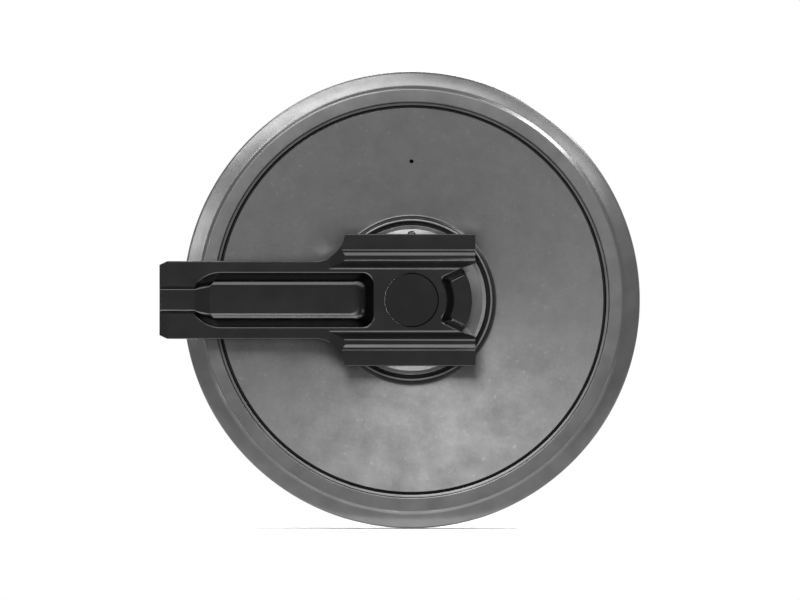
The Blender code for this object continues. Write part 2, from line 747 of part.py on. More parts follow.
def build_bracket(shop, end, side):
    """Cast bearing bracket: grooved guide block, round boss and channelled arm."""
    name = f"bracket_{end}"
    body = prism(
        name,
        bracket_outline(),
        lambda point, level: (point[0], side * level, point[1]),
        PLATE_BACK,
        PLATE_FACE,
    )
    bracket = shop.add(name, body, "black_paint")
    boss = rod(f"boss_{end}", BOSS_RADIUS, (0.0, side * BOSS_FACE, 0.0), (0.0, side * LEDGE_FACE, 0.0), HUB_SEGMENTS)
    shop.cut(bracket, shop.add_cutter(f"boss_{end}", boss), "UNION")
    cutters = {
        "groove_top": groove_cutter("groove_top", side, 1),
        "groove_bottom": groove_cutter("groove_bottom", side, -1),
        "channel": channel_cutter("channel", side),
        "scallop": scallop_cutter("scallop", side),
        "arm_end": arm_end_cutter("arm_end", side),
        "seal_pocket": seal_pocket_cutter("seal_pocket", side),
        "pin_hole": rod(
            "pin_hole",
            PIN_HOLE_RADIUS,
            (0.0, side * PIN_STATION, AXLE_BORE / 2),
            (0.0, side * PIN_STATION, BLOCK_HEIGHT / 2 + OVERCUT),
            16,
        ),
    }
    for up in (1, -1):
        height = up * YOKE_HOLE_SPACING / 2
        start = (-ARM_REACH - OVERCUT, side * YOKE_HOLE_STATION, height)
        finish = (-ARM_REACH + YOKE_HOLE_DEPTH, side * YOKE_HOLE_STATION, height)
        cutters[f"yoke_hole_{up}"] = rod(f"yoke_hole_{up}", YOKE_HOLE_RADIUS, start, finish, 16)
    for feature, mesh in cutters.items():
        shop.cut(bracket, shop.add_cutter(f"{feature}_{end}", mesh))


def build_lock_pin(shop, end, side):
    """Pin down through the block into the axle, with a domed head."""
    bottom = AXLE_RADIUS - PIN_DEPTH
    top = BLOCK_HEIGHT / 2 + PIN_PROUD
    dome = PIN_PROUD - SEAT_GAP
    profile = [(0.0, top)]
    profile += [
        (PIN_RADIUS * math.sin(math.radians(angle)), top - dome * (1 - math.cos(math.radians(angle))))
        for angle in (30, 60, 90)
    ]
    profile += [(PIN_RADIUS, bottom), (0.0, bottom)]
    pin = shop.turned(f"lock_pin_{end}", profile, side, 16, "machined")
    pin.rotation_euler.x = 0.0
    pin.location.y = side * PIN_STATION


def main():
    """Build every piece of the idler."""
    clear_scene()
    shop = Workshop()
    build_rim(shop)
    build_hub(shop)
    build_axle(shop)
    build_plug(shop)
    for end, side in SIDES:
        build_web_plate(shop, end, side)
        build_bushing(shop, end, side)
        build_seal_housing(shop, end, side)
        build_seal_half(shop, "rotating", end, side, -1)
        build_seal_half(shop, "stationary", end, side, 1)
        build_bracket(shop, end, side)
        build_lock_pin(shop, end, side)


if __name__ == "__main__":
    main()
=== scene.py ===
"""Looks of an excavator's front idler: running wheel, bearing brackets, axle and seals.

The axle lies along Y and the wheel's centre is the origin. A station is a distance from the
wheel's middle plane along the axle, so a front station of 0.1 lies at y = -0.1.
"""

import logging
import math
from collections.abc import Sequence
from dataclasses import dataclass, field
from enum import Enum

import bmesh
import bpy
from mathutils import Euler, Matrix, Vector


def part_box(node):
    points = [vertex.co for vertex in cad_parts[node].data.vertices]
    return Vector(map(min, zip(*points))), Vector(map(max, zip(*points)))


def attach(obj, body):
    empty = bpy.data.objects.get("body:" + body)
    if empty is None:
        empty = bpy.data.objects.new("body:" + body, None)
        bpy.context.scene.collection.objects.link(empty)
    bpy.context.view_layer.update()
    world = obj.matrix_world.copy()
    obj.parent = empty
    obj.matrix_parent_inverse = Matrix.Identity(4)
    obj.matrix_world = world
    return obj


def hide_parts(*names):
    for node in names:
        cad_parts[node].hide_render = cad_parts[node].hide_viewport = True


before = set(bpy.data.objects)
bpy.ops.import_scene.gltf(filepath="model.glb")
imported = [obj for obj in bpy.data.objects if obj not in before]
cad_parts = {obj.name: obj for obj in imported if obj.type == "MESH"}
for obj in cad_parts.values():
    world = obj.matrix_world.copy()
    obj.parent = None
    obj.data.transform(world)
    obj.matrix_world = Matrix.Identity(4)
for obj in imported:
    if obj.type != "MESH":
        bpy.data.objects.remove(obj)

Point = tuple[float, float]
Place = tuple[float, float, float]
Tint = tuple[float, float, float]

# Facets round a full turn
WHEEL_SEGMENTS = 256
HUB_SEGMENTS = 192
SMALL_SEGMENTS = 96
# Chords in a rounded corner
ROUND_STEPS = 4
# Faces that meet at more than this angle keep a sharp edge between them
SHARP_ANGLE = math.radians(35)
# Clearance between pieces that are seated in each other
SEAT_GAP = 0.0003
# How far a cutter reaches past the surface that it opens
OVERCUT = 0.005
# Radius below which a section's point lies on the axis
ON_AXIS = 0.000001
# Distance that lies beyond every piece
FAR_OUT = 1.0

# Radii of broken edges, from a lapped ring's to a forging's
CRISP = 0.0003
LAPPED = 0.0004
TURNED = 0.0005
BROKEN = 0.0008
CAST = 0.0012

NEUTRAL = (1.0, 1.0, 1.0)
# Share of a turn that lays the sheen across the turning marks
QUARTER_TURN = 0.25
# Values that hold most of a noise texture, which lies round 0.5
NOISE_SPAN = (0.3, 0.7)
UNIT = (0.0, 1.0)
UNIT_DOWN = (1.0, 0.0)

# Power of an area light, per square metre, at which its face is as bright as white
WHITE_POWER = 4.0
# Rays that see the pale surroundings as the camera does
MIRROR_RAYS = ("Is Glossy Ray", "Is Transmission Ray")

log = logging.getLogger("idler")


class Side(Enum):
    """Front is towards -Y, rear towards +Y."""

    FRONT = -1
    REAR = 1

    @property
    def label(self) -> str:
        """Word that the side's pieces have in their names."""
        return self.name.lower()


class Body(Enum):
    """The two bodies that a piece can ride on."""

    CARRIER = "carrier"
    WHEEL = "wheel"


class Slot(Enum):
    """Material slots that the pieces belong to."""

    CAST_GREY = "cast_grey"
    MACHINED_STEEL = "machined_steel"
    SEAL_IRON = "seal_iron"
    AXLE_STEEL = "axle_steel"
    PIN_STEEL = "pin_steel"
    BLACK_PAINT = "black_paint"
    BRONZE = "bronze"
    COPPER = "copper"
    RUBBER = "rubber"


class Lit(Enum):
    """What a lamp shines on: everything, or one group of pieces."""

    ALL = "all"
    RIM = "rim"
    HOUSINGS = "housings"
    BRACKETS = "brackets"


LIT_BY_SLOT = {Slot.MACHINED_STEEL: Lit.HOUSINGS, Slot.BLACK_PAINT: Lit.BRACKETS}


@dataclass(frozen=True)
class Corner:
    """Corner of a section or outline, with the radius that rounds it."""

    u: float
    v: float
    radius: float = 0.0


def arc(centre: Point, radius: float, start: float, end: float, steps: int) -> list[Point]:
    """Make points along an arc.

    Args:
        centre: Centre of the arc.
        radius: Its radius.
        start: First angle, in degrees.
        end: Last angle, in degrees.
        steps: Number of chords.

    Returns:
        The points, both ends included.
    """
    points = []
    for step in range(steps + 1):
        turn = math.radians(start + (end - start) * step / steps)
        points.append((centre[0] + radius * math.cos(turn), centre[1] + radius * math.sin(turn)))
    return points


def rounded(
    corners: Sequence[Corner], closed: bool = True, steps: int = ROUND_STEPS
) -> list[Point]:
    """Replace each corner that has a radius by an arc that touches both of its sides.

    Args:
        corners: Corners in order.
        closed: Whether the last corner joins the first.
        steps: Chords in each arc.

    Returns:
        Points of the rounded chain.
    """
    points: list[Point] = []
    last = len(corners) - 1
    for index, corner in enumerate(corners):
        if corner.radius <= 0 or (not closed and index in (0, last)):
            points.append((corner.u, corner.v))
            continue
        here = Vector((corner.u, corner.v))
        before = corners[index - 1]
        after = corners[(index + 1) % len(corners)]
        back = (Vector((before.u, before.v)) - here).normalized()
        ahead = (Vector((after.u, after.v)) - here).normalized()
        half_angle = back.angle(ahead) / 2
        centre = here + (back + ahead).normalized() * (corner.radius / math.sin(half_angle))
        reach = corner.radius / math.tan(half_angle)
        first = here + back * reach - centre
        final = here + ahead * reach - centre
        start = math.atan2(first.y, first.x)
        sweep = (math.atan2(final.y, final.x) - start + math.pi) % math.tau - math.pi
        turns = (math.degrees(start), math.degrees(start + sweep))
        points += arc((centre.x, centre.y), corner.radius, *turns, steps)
    return points


def inset(outline: Sequence[Point], distance: float) -> list[Point]:
    """Move a closed outline inwards.

    Args:
        outline: Points of the outline, in either direction.
        distance: How far each side moves.

    Returns:
        As many points, each moved along its mitre.
    """
    count = len(outline)
    doubled_area = sum(
        outline[index - 1][0] * outline[index][1] - outline[index][0] * outline[index - 1][1]
        for index in range(count)
    )
    inward = math.copysign(1.0, doubled_area)
    moved: list[Point] = []
    for index, point in enumerate(outline):
        here = Vector(point)
        arriving = (here - Vector(outline[index - 1])).normalized()
        leaving = (Vector(outline[(index + 1) % count]) - here).normalized()
        normals = [Vector((-way.y, way.x)) * inward for way in (arriving, leaving)]
        mitre = (normals[0] + normals[1]).normalized()
        place = here + mitre * (distance / mitre.dot(normals[0]))
        moved.append((place.x, place.y))
    return moved


def mesh_from(name: str, shape: bmesh.types.BMesh) -> bpy.types.Mesh:
    """Turn a bmesh into a mesh with its faces pointing out.

    Args:
        name: Name of the mesh.
        shape: Closed shape; it is freed.

    Returns:
        The new mesh.
    """
    bmesh.ops.recalc_face_normals(shape, faces=shape.faces)
    mesh = bpy.data.meshes.new(name)
    shape.to_mesh(mesh)
    shape.free()
    return mesh


def bridge(
    shape: bmesh.types.BMesh,
    one: Sequence[bmesh.types.BMVert],
    other: Sequence[bmesh.types.BMVert],
) -> None:
    """Join two rows of equally many corners by faces.

    Args:
        shape: Shape that the corners belong to.
        one: First row; a closed one ends with its first corner again.
        other: Second row. Where it shares a corner with the first, the face is a triangle.
    """
    for index in range(len(one) - 1):
        face = (one[index], one[index + 1], other[index + 1], other[index])
        kept = list(dict.fromkeys(face))
        if len(kept) > 2:
            shape.faces.new(kept)


def lathe(
    name: str, section: Sequence[Point], segments: int, closed: bool = True
) -> bpy.types.Mesh:
    """Turn a section of (radius, y) points about the Y axis.

    Args:
        name: Name of the mesh.
        section: Points of the section; an open one starts and ends on the axis.
        segments: Facets in a full turn.
        closed: Whether the section is a closed loop.

    Returns:
        A closed mesh.
    """
    shape = bmesh.new()
    turns = [math.tau * index / segments for index in range(segments)]
    columns = []
    for radius, height in section:
        if radius < ON_AXIS:
            pole = shape.verts.new((0.0, height, 0.0))
            columns.append([pole] * segments)
            continue
        places = [(radius * math.cos(turn), height, radius * math.sin(turn)) for turn in turns]
        columns.append([shape.verts.new(place) for place in places])
    pairs = list(zip(columns, columns[1:]))
    if closed:
        pairs.append((columns[-1], columns[0]))
    for near, far in pairs:
        bridge(shape, [*near, near[0]], [*far, far[0]])
    return mesh_from(name, shape)


def loft(name: str, rings: Sequence[list[Place]]) -> bpy.types.Mesh:
    """Join rings of equally many points into a closed mesh with flat ends.

    Args:
        name: Name of the mesh.
        rings: Rings in order.

    Returns:
        A closed mesh.
    """
    shape = bmesh.new()
    loops = [[shape.verts.new(point) for point in ring] for ring in rings]
    for lower, upper in zip(loops, loops[1:]):
        bridge(shape, [*lower, lower[0]], [*upper, upper[0]])
    shape.faces.new(loops[0])
    shape.faces.new(loops[-1])
    return mesh_from(name, shape)


def rod(name: str, radius: float, start: Vector, end: Vector) -> bpy.types.Mesh:
    """Make a cylinder between two points.

    Args:
        name: Name of the mesh.
        radius: Its radius.
        start: Middle of one end.
        end: Middle of the other end.

    Returns:
        A closed mesh.
    """
    axis = end - start
    turn = axis.to_track_quat("Z", "Y").to_matrix().to_4x4()
    shape = bmesh.new()
    bmesh.ops.create_cone(
        shape,
        cap_ends=True,
        segments=SMALL_SEGMENTS // 2,
        radius1=radius,
        radius2=radius,
        depth=axis.length,
        matrix=Matrix.Translation((start + end) / 2) @ turn,
    )
    return mesh_from(name, shape)


def carved(
    name: str, body: bpy.types.Mesh, steps: Sequence[tuple[str, bpy.types.Mesh]]
) -> bpy.types.Mesh:
    """Join meshes to a body and cut others out of it.

    Args:
        name: Name of the result.
        body: Mesh to start from.
        steps: Boolean operation and mesh of each step, in order.

    Returns:
        The finished mesh.
    """
    collection = bpy.context.scene.collection
    block = bpy.data.objects.new(name + "_blank", body)
    collection.objects.link(block)
    cutters = []
    for operation, mesh in steps:
        cutter = bpy.data.objects.new(mesh.name, mesh)
        collection.objects.link(cutter)
        cutters.append(cutter)
        boolean = block.modifiers.new(mesh.name, "BOOLEAN")
        boolean.operation = operation
        boolean.object = cutter
        boolean.solver = "EXACT"
    graph = bpy.context.evaluated_depsgraph_get()
    graph.update()
    result = bpy.data.meshes.new_from_object(block.evaluated_get(graph))
    result.name = name
    for scrap in [block, *cutters]:
        scrap_mesh = scrap.data
        bpy.data.objects.remove(scrap)
        bpy.data.meshes.remove(scrap_mesh)
    return result


def mirrored(mesh: bpy.types.Mesh, name: str) -> bpy.types.Mesh:
    """Copy a mesh to the other side of the wheel's middle plane.

    Args:
        mesh: Mesh to copy.
        name: Name of the copy.

    Returns:
        The mirror image, with its faces pointing out.
    """
    copy = mesh.copy()
    copy.name = name
    copy.transform(Matrix.Scale(-1.0, 4, Vector((0.0, 1.0, 0.0))))
    copy.flip_normals()
    return copy


class Nodes:
    """Builds one material's node tree, step by step."""

    def __init__(self, name: str) -> None:
        """Start a material that has only its shader.

        Args:
            name: Name of the material.
        """
        self.material = bpy.data.materials.new(name)
        self.material.use_nodes = True
        self.tree = self.material.node_tree
        self.shader = self.tree.nodes["Principled BSDF"]
        coordinates = self.tree.nodes.new("ShaderNodeTexCoord")
        self.place = coordinates.outputs["Object"]
        self.normal = coordinates.outputs["Normal"]

    def link(self, source: bpy.types.NodeSocket, target: bpy.types.NodeSocket) -> None:
        """Join two sockets."""
        self.tree.links.new(source, target)

    def noise(self, scale: float, detail: float = 3.0, rough: float = 0.5) -> bpy.types.NodeSocket:
        """Add a noise texture in the piece's own frame.

        Args:
            scale: Waves in a metre.
            detail: Number of finer octaves.
            rough: Strength of the finer octaves.

        Returns:
            Socket with a value round 0.5.
        """
        node = self.tree.nodes.new("ShaderNodeTexNoise")
        node.inputs["Scale"].default_value = scale
        node.inputs["Detail"].default_value = detail
        node.inputs["Roughness"].default_value = rough
        self.link(self.place, node.inputs["Vector"])
        return node.outputs["Fac"]

    def spread(
        self, value: bpy.types.NodeSocket, source: Point, target: Point
    ) -> bpy.types.NodeSocket:
        """Map a range of values to another range, with clamped ends.

        Args:
            value: Socket to read.
            source: Lowest and highest value that are read.
            target: What these become.

        Returns:
            Socket with the new value.
        """
        node = self.tree.nodes.new("ShaderNodeMapRange")
        node.inputs["From Min"].default_value, node.inputs["From Max"].default_value = source
        node.inputs["To Min"].default_value, node.inputs["To Max"].default_value = target
        self.link(value, node.inputs["Value"])
        return node.outputs["Result"]

    def combine(
        self, operation: str, first: bpy.types.NodeSocket, second: bpy.types.NodeSocket | float
    ) -> bpy.types.NodeSocket:
        """Combine two values.

        Args:
            operation: Name of the math node's operation.
            first: First value.
            second: Second value, a socket or a number.

        Returns:
            Socket with the result.
        """
        node = self.tree.nodes.new("ShaderNodeMath")
        node.operation = operation
        self.link(first, node.inputs[0])
        if isinstance(second, float):
            node.inputs[1].default_value = second
        else:
            self.link(second, node.inputs[1])
        return node.outputs[0]

    def product(
        self, first: bpy.types.NodeSocket, *others: bpy.types.NodeSocket | float
    ) -> bpy.types.NodeSocket:
        """Multiply values in their order.

        Args:
            first: First value.
            others: Further values, sockets or numbers.

        Returns:
            Socket with the product.
        """
        result = first
        for value in others:
            result = self.combine("MULTIPLY", result, value)
        return result

    def veil(self, mask: bpy.types.NodeSocket, level: float) -> bpy.types.NodeSocket:
        """Brightness that is 1 where the mask is 0, and the level where the mask is 1."""
        return self.spread(mask, UNIT, (1.0, level))

    def part(self, vector: bpy.types.NodeSocket, axis: str) -> bpy.types.NodeSocket:
        """Take one coordinate of a vector.

        Args:
            vector: Socket with the vector.
            axis: Letter of the coordinate.

        Returns:
            Socket with the coordinate.
        """
        split = self.tree.nodes.new("ShaderNodeSeparateXYZ")
        self.link(vector, split.inputs[0])
        return split.outputs[axis]

    def extent(self, vector: bpy.types.NodeSocket, axis: str) -> bpy.types.NodeSocket:
        """Take one coordinate of a vector without its sign."""
        return self.combine("ABSOLUTE", self.part(vector, axis), 0.0)

    def station(self) -> bpy.types.NodeSocket:
        """Distance from the wheel's middle plane, in metres."""
        return self.extent(self.place, "Y")

    def facing(self) -> bpy.types.NodeSocket:
        """How squarely the surface faces along the axle, from 0 on a side wall to 1 on a face."""
        return self.extent(self.normal, "Y")

    def openness(self, reach: float) -> bpy.types.NodeSocket:
        """How open the piece's own surface lies, from 0 in a tight hollow to 1 on a flat.

        Args:
            reach: How far away a wall still counts, in metres.

        Returns:
            Socket with the share.
        """
        node = self.tree.nodes.new("ShaderNodeAmbientOcclusion")
        node.only_local = True
        node.inputs["Distance"].default_value = reach
        return node.outputs["AO"]

    def radius(self) -> bpy.types.NodeSocket:
        """Distance from the axle's middle line.

        Returns:
            Socket with the distance, in metres.
        """
        flat = self.tree.nodes.new("ShaderNodeVectorMath")
        flat.operation = "MULTIPLY"
        flat.inputs[1].default_value = (1.0, 0.0, 1.0)
        self.link(self.place, flat.inputs[0])
        length = self.tree.nodes.new("ShaderNodeVectorMath")
        length.operation = "LENGTH"
        self.link(flat.outputs[0], length.inputs[0])
        return length.outputs["Value"]

    def grey(self, level: bpy.types.NodeSocket, tint: Tint = NEUTRAL) -> None:
        """Colour the shader by a level times a tint.

        Args:
            level: Brightness, linear.
            tint: Red, green and blue at level 1.
        """
        node = self.tree.nodes.new("ShaderNodeVectorMath")
        node.operation = "SCALE"
        node.inputs[0].default_value = tint
        self.link(level, node.inputs["Scale"])
        self.link(node.outputs[0], self.shader.inputs["Base Color"])

    def bump(self, height: bpy.types.NodeSocket, depth: float) -> None:
        """Raise the surface by a height.

        Args:
            height: Height from 0 to 1.
            depth: Metres that a height of 1 stands for.
        """
        node = self.tree.nodes.new("ShaderNodeBump")
        node.inputs["Strength"].default_value = 1.0
        node.inputs["Distance"].default_value = depth
        self.link(height, node.inputs["Height"])
        self.link(node.outputs["Normal"], self.shader.inputs["Normal"])


@dataclass(frozen=True)
class Grime:
    """Painted shade that darkens a ring-shaped recess, gap or seam."""

    inner: float
    outer: float = FAR_OUT
    mouth: float = FAR_OUT
    fade: float = 0.0008
    level: float = 0.10

    def shade(self, nodes: Nodes) -> bpy.types.NodeSocket:
        """Make the brightness that the painted shade in the recess leaves of a colour.

        Args:
            nodes: Material that it is for.

        Returns:
            Socket that is 1 on open surface and lower where the shade is painted.
        """
        radius = nodes.radius()
        rising = nodes.spread(radius, (self.inner - self.fade, self.inner), UNIT)
        falling = nodes.spread(radius, (self.outer, self.outer + self.fade), UNIT_DOWN)
        deep = nodes.spread(nodes.station(), (self.mouth, self.mouth + self.fade), UNIT_DOWN)
        return nodes.veil(nodes.product(rising, falling, deep), self.level)


@dataclass(frozen=True)
class CastFinish:
    """As-cast or rolled steel with cloudy grey patches, small specks and a fine grain."""

    name: str
    # Rings of painted shade that darken recesses, gaps and seams
    grime: tuple[Grime, ...] = ()
    level: float = 0.095
    mottle: float = 0.16
    speck: float = 0.22
    metallic: float = 0.92
    roughness: float = 0.32
    roughness_spread: float = 0.04
    cloud_scale: float = 30.0
    cloud_detail: float = 6.0
    cloud_rough: float = 0.6
    fine_scale: float = 270.0
    speck_scale: float = 180.0
    speck_edge: Point = (0.68, 0.76)
    grain_scale: float = 900.0
    grain_depth: float = 0.00002

    def material(self) -> bpy.types.Material:
        """Build the material.

        Returns:
            The new material.
        """
        nodes = Nodes(self.name)
        clouds = nodes.noise(self.cloud_scale, self.cloud_detail, self.cloud_rough)
        patches = nodes.spread(clouds, NOISE_SPAN, (1.0 - self.mottle, 1.0 + self.mottle))
        fine = nodes.spread(nodes.noise(self.fine_scale), NOISE_SPAN, (0.95, 1.05))
        dots = nodes.noise(self.speck_scale, 1.0)
        specks = nodes.spread(dots, self.speck_edge, (1.0, 1.0 + self.speck))
        # Painted shade darkens the colour in the recesses
        painted_shade = [ring.shade(nodes) for ring in self.grime]
        nodes.grey(nodes.product(patches, self.level, fine, specks, *painted_shade))
        dullest = self.roughness + self.roughness_spread
        rough = nodes.spread(clouds, NOISE_SPAN, (dullest, self.roughness - self.roughness_spread))
        nodes.link(rough, nodes.shader.inputs["Roughness"])
        nodes.shader.inputs["Metallic"].default_value = self.metallic
        nodes.bump(nodes.noise(self.grain_scale, 2.0), self.grain_depth)
        return nodes.material


@dataclass(frozen=True)
class TreadFinish:
    """Rim steel, cast grey on its sides and rolled bright where the track links run."""

    name: str
    tread: float
    band: Point
    # Rings of painted shade that darken recesses, gaps and seams
    grime: tuple[Grime, ...] = ()
    level: float = 0.083
    mottle: float = 0.16
    polished: float = 0.26
    metallic: float = 0.92
    roughness: float = 0.30
    polished_roughness: float = 0.24
    edge_blur: float = 0.003
    worn_depth: Point = (0.0012, 0.0002)
    cloud_scale: float = 30.0
    cloud_detail: float = 6.0
    cloud_rough: float = 0.6
    grain_scale: float = 900.0
    grain_depth: float = 0.00002

    def material(self) -> bpy.types.Material:
        """Build the material.

        Returns:
            The new material.
        """
        nodes = Nodes(self.name)
        clouds = nodes.noise(self.cloud_scale, self.cloud_detail, self.cloud_rough)
        patches = nodes.spread(clouds, NOISE_SPAN, (1.0 - self.mottle, 1.0 + self.mottle))
        waves = nodes.noise(self.cloud_scale)
        wander = nodes.spread(waves, NOISE_SPAN, (-self.edge_blur, self.edge_blur))
        station = nodes.combine("ADD", nodes.station(), wander)
        inner, outer = self.band
        rising = nodes.spread(station, (inner, inner + self.edge_blur), UNIT)
        falling = nodes.spread(station, (outer - self.edge_blur, outer), UNIT_DOWN)
        low, high = (self.tread - depth for depth in self.worn_depth)
        worn = nodes.product(rising, falling, nodes.spread(nodes.radius(), (low, high), UNIT))
        base = nodes.spread(worn, UNIT, (self.level, self.polished))
        # Painted shade darkens the colour in the recesses
        painted_shade = [ring.shade(nodes) for ring in self.grime]
        nodes.grey(nodes.product(base, patches, *painted_shade))
        rough = nodes.spread(worn, UNIT, (self.roughness, self.polished_roughness))
        nodes.link(rough, nodes.shader.inputs["Roughness"])
        nodes.shader.inputs["Metallic"].default_value = self.metallic
        nodes.bump(nodes.noise(self.grain_scale, 2.0), self.grain_depth)
        return nodes.material


@dataclass(frozen=True)
class TurnedFinish:
    """Steel or iron turned on a lathe: bright, with a sheen across its fine rings."""

    name: str
    tint: Tint = NEUTRAL
    level: float = 0.092
    roughness: float = 0.33
    anisotropy: float = 0.85
    metallic: float = 1.0
    patch_scale: float = 60.0

    def material(self) -> bpy.types.Material:
        """Build the material.

        Returns:
            The new material.
        """
        nodes = Nodes(self.name)
        patches = nodes.spread(nodes.noise(self.patch_scale), NOISE_SPAN, (0.93, 1.07))
        nodes.grey(nodes.product(patches, self.level), self.tint)
        nodes.shader.inputs["Metallic"].default_value = self.metallic
        nodes.shader.inputs["Roughness"].default_value = self.roughness
        nodes.shader.inputs["Anisotropic"].default_value = self.anisotropy
        nodes.shader.inputs["Anisotropic Rotation"].default_value = QUARTER_TURN
        tangent = nodes.tree.nodes.new("ShaderNodeTangent")
        tangent.direction_type = "RADIAL"
        tangent.axis = "Y"
        nodes.link(tangent.outputs["Tangent"], nodes.shader.inputs["Tangent"])
        return nodes.material


@dataclass(frozen=True)
class Soot:
    """Painted shade that darkens a stretch of a hollow below a casting's outer face."""

    start: float
    end: float
    half: float
    face: float
    fade: float = 0.005
    depth: float = 0.002
    level: float = 0.4

    def shade(self, nodes: Nodes) -> bpy.types.NodeSocket:
        """Make the brightness that the painted shade leaves of a colour.

        Args:
            nodes: Material that it is for.

        Returns:
            Socket that is 1 on open surface and lower in the painted shade.
        """
        across = nodes.part(nodes.place, "X")
        aside = nodes.extent(nodes.place, "Z")
        rising = nodes.spread(across, (self.start, self.start + self.fade), UNIT)
        falling = nodes.spread(across, (self.end, self.end + self.depth), UNIT_DOWN)
        within = nodes.spread(aside, (self.half, self.half + self.depth / 2), UNIT_DOWN)
        lip = (self.face - self.depth, self.face - self.depth / 2)
        deep = nodes.spread(nodes.station(), lip, UNIT_DOWN)
        return nodes.veil(nodes.product(rising, falling, deep, within), self.level)


@dataclass(frozen=True)
class WallShade:
    """Painted shade that dulls the steep walls of a casting's hollows near its middle height."""

    half: float
    fade: float = 0.001
    reach: float = 0.025
    shut: Point = (0.88, 0.98)
    steep: Point = (0.55, 0.75)
    level: float = 0.05

    def shade(self, nodes: Nodes) -> bpy.types.NodeSocket:
        """Make the brightness of a colour that the painted shade leaves on the walls.

        Args:
            nodes: Material that it is for.

        Returns:
            Socket that is 1 on open or gentle surface and lower on steep walls.
        """
        aside = nodes.extent(nodes.place, "Z")
        within = nodes.spread(aside, (self.half, self.half + self.fade), UNIT_DOWN)
        shut = nodes.spread(nodes.openness(self.reach), self.shut, UNIT_DOWN)
        steep = nodes.spread(nodes.facing(), self.steep, UNIT_DOWN)
        return nodes.veil(nodes.product(shut, steep, within), self.level)


@dataclass(frozen=True)
class PaintFinish:
    """Satin graphite black on a casting, with a faint orange peel."""

    name: str
    # Painted shade in hollows, gaps and seams, which darkens the paint
    shades: tuple[Grime | Soot | WallShade, ...] = ()
    level: float = 0.0195
    metallic: float = 1.0
    roughness: float = 0.21
    roughness_spread: float = 0.02
    patch_scale: float = 18.0
    sheen_scale: float = 40.0
    peel_scale: float = 420.0
    peel_depth: float = 0.000008

    def material(self) -> bpy.types.Material:
        """Build the material.

        Returns:
            The new material.
        """
        nodes = Nodes(self.name)
        patches = nodes.spread(nodes.noise(self.patch_scale, 4.0), NOISE_SPAN, (0.93, 1.07))
        # Painted shade darkens the paint in hollows and seams
        painted_shade = [area.shade(nodes) for area in self.shades]
        nodes.grey(nodes.product(patches, self.level, *painted_shade))
        nodes.shader.inputs["Metallic"].default_value = self.metallic
        sheen = nodes.noise(self.sheen_scale)
        dullest = self.roughness + self.roughness_spread
        rough = nodes.spread(sheen, NOISE_SPAN, (self.roughness - self.roughness_spread, dullest))
        nodes.link(rough, nodes.shader.inputs["Roughness"])
        nodes.bump(nodes.noise(self.peel_scale, 2.0), self.peel_depth)
        return nodes.material


@dataclass(frozen=True)
class RubberFinish:
    """Moulded black rubber."""

    name: str
    level: float = 0.012
    roughness: float = 0.62
    patch_scale: float = 120.0
    grain_scale: float = 1500.0
    grain_depth: float = 0.00001

    def material(self) -> bpy.types.Material:
        """Build the material.

        Returns:
            The new material.
        """
        nodes = Nodes(self.name)
        patches = nodes.spread(nodes.noise(self.patch_scale), NOISE_SPAN, (0.85, 1.2))
        nodes.grey(nodes.product(patches, self.level))
        nodes.shader.inputs["Roughness"].default_value = self.roughness
        nodes.bump(nodes.noise(self.grain_scale, 2.0), self.grain_depth)
        return nodes.material


Finish = CastFinish | TreadFinish | TurnedFinish | PaintFinish | RubberFinish


@dataclass(frozen=True)
class OuterFinish:
    """Finish of the faces that lie beyond a radius."""

    finish: Finish
    beyond: float


@dataclass(frozen=True)
class Layout:
    """Overall places and radii of the pieces, read from the frame."""

    wheel_radius: float
    rim_end: float
    web_radius: float
    web_face: float
    web_back: float
    hub_radius: float
    hub_end: float
    housing_radius: float
    housing_back: float
    housing_end: float
    axle_radius: float
    axle_end: float
    arm_reach: float
    block_front: float
    block_half: float
    boss_face: float
    pin_station: float
    pin_radius: float
    pin_foot: float
    pin_top: float

    @classmethod
    def from_frame(cls) -> "Layout":
        """Measure the frame's rear pieces, whose stations are positive.

        Returns:
            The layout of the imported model.
        """
        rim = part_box("rim")[1]
        web_low, web_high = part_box("web_plate_rear")
        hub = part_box("hub")[1]
        housing_low, housing_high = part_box("seal_housing_rear")
        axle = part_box("axle")[1]
        bracket_low, bracket_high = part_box("bracket_rear")
        pin_low, pin_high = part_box("lock_pin_rear")
        return cls(
            wheel_radius=rim.z,
            rim_end=rim.y,
            web_radius=web_high.z,
            web_face=web_high.y,
            web_back=web_low.y,
            hub_radius=hub.z,
            hub_end=hub.y,
            housing_radius=housing_high.z,
            housing_back=housing_low.y,
            housing_end=housing_high.y,
            axle_radius=axle.z,
            axle_end=axle.y,
            arm_reach=-bracket_low.x,
            block_front=bracket_high.x,
            block_half=bracket_high.z,
            boss_face=bracket_low.y,
            pin_station=(pin_low.y + pin_high.y) / 2,
            pin_radius=pin_high.x,
            pin_foot=pin_low.z,
            pin_top=pin_high.z,
        )


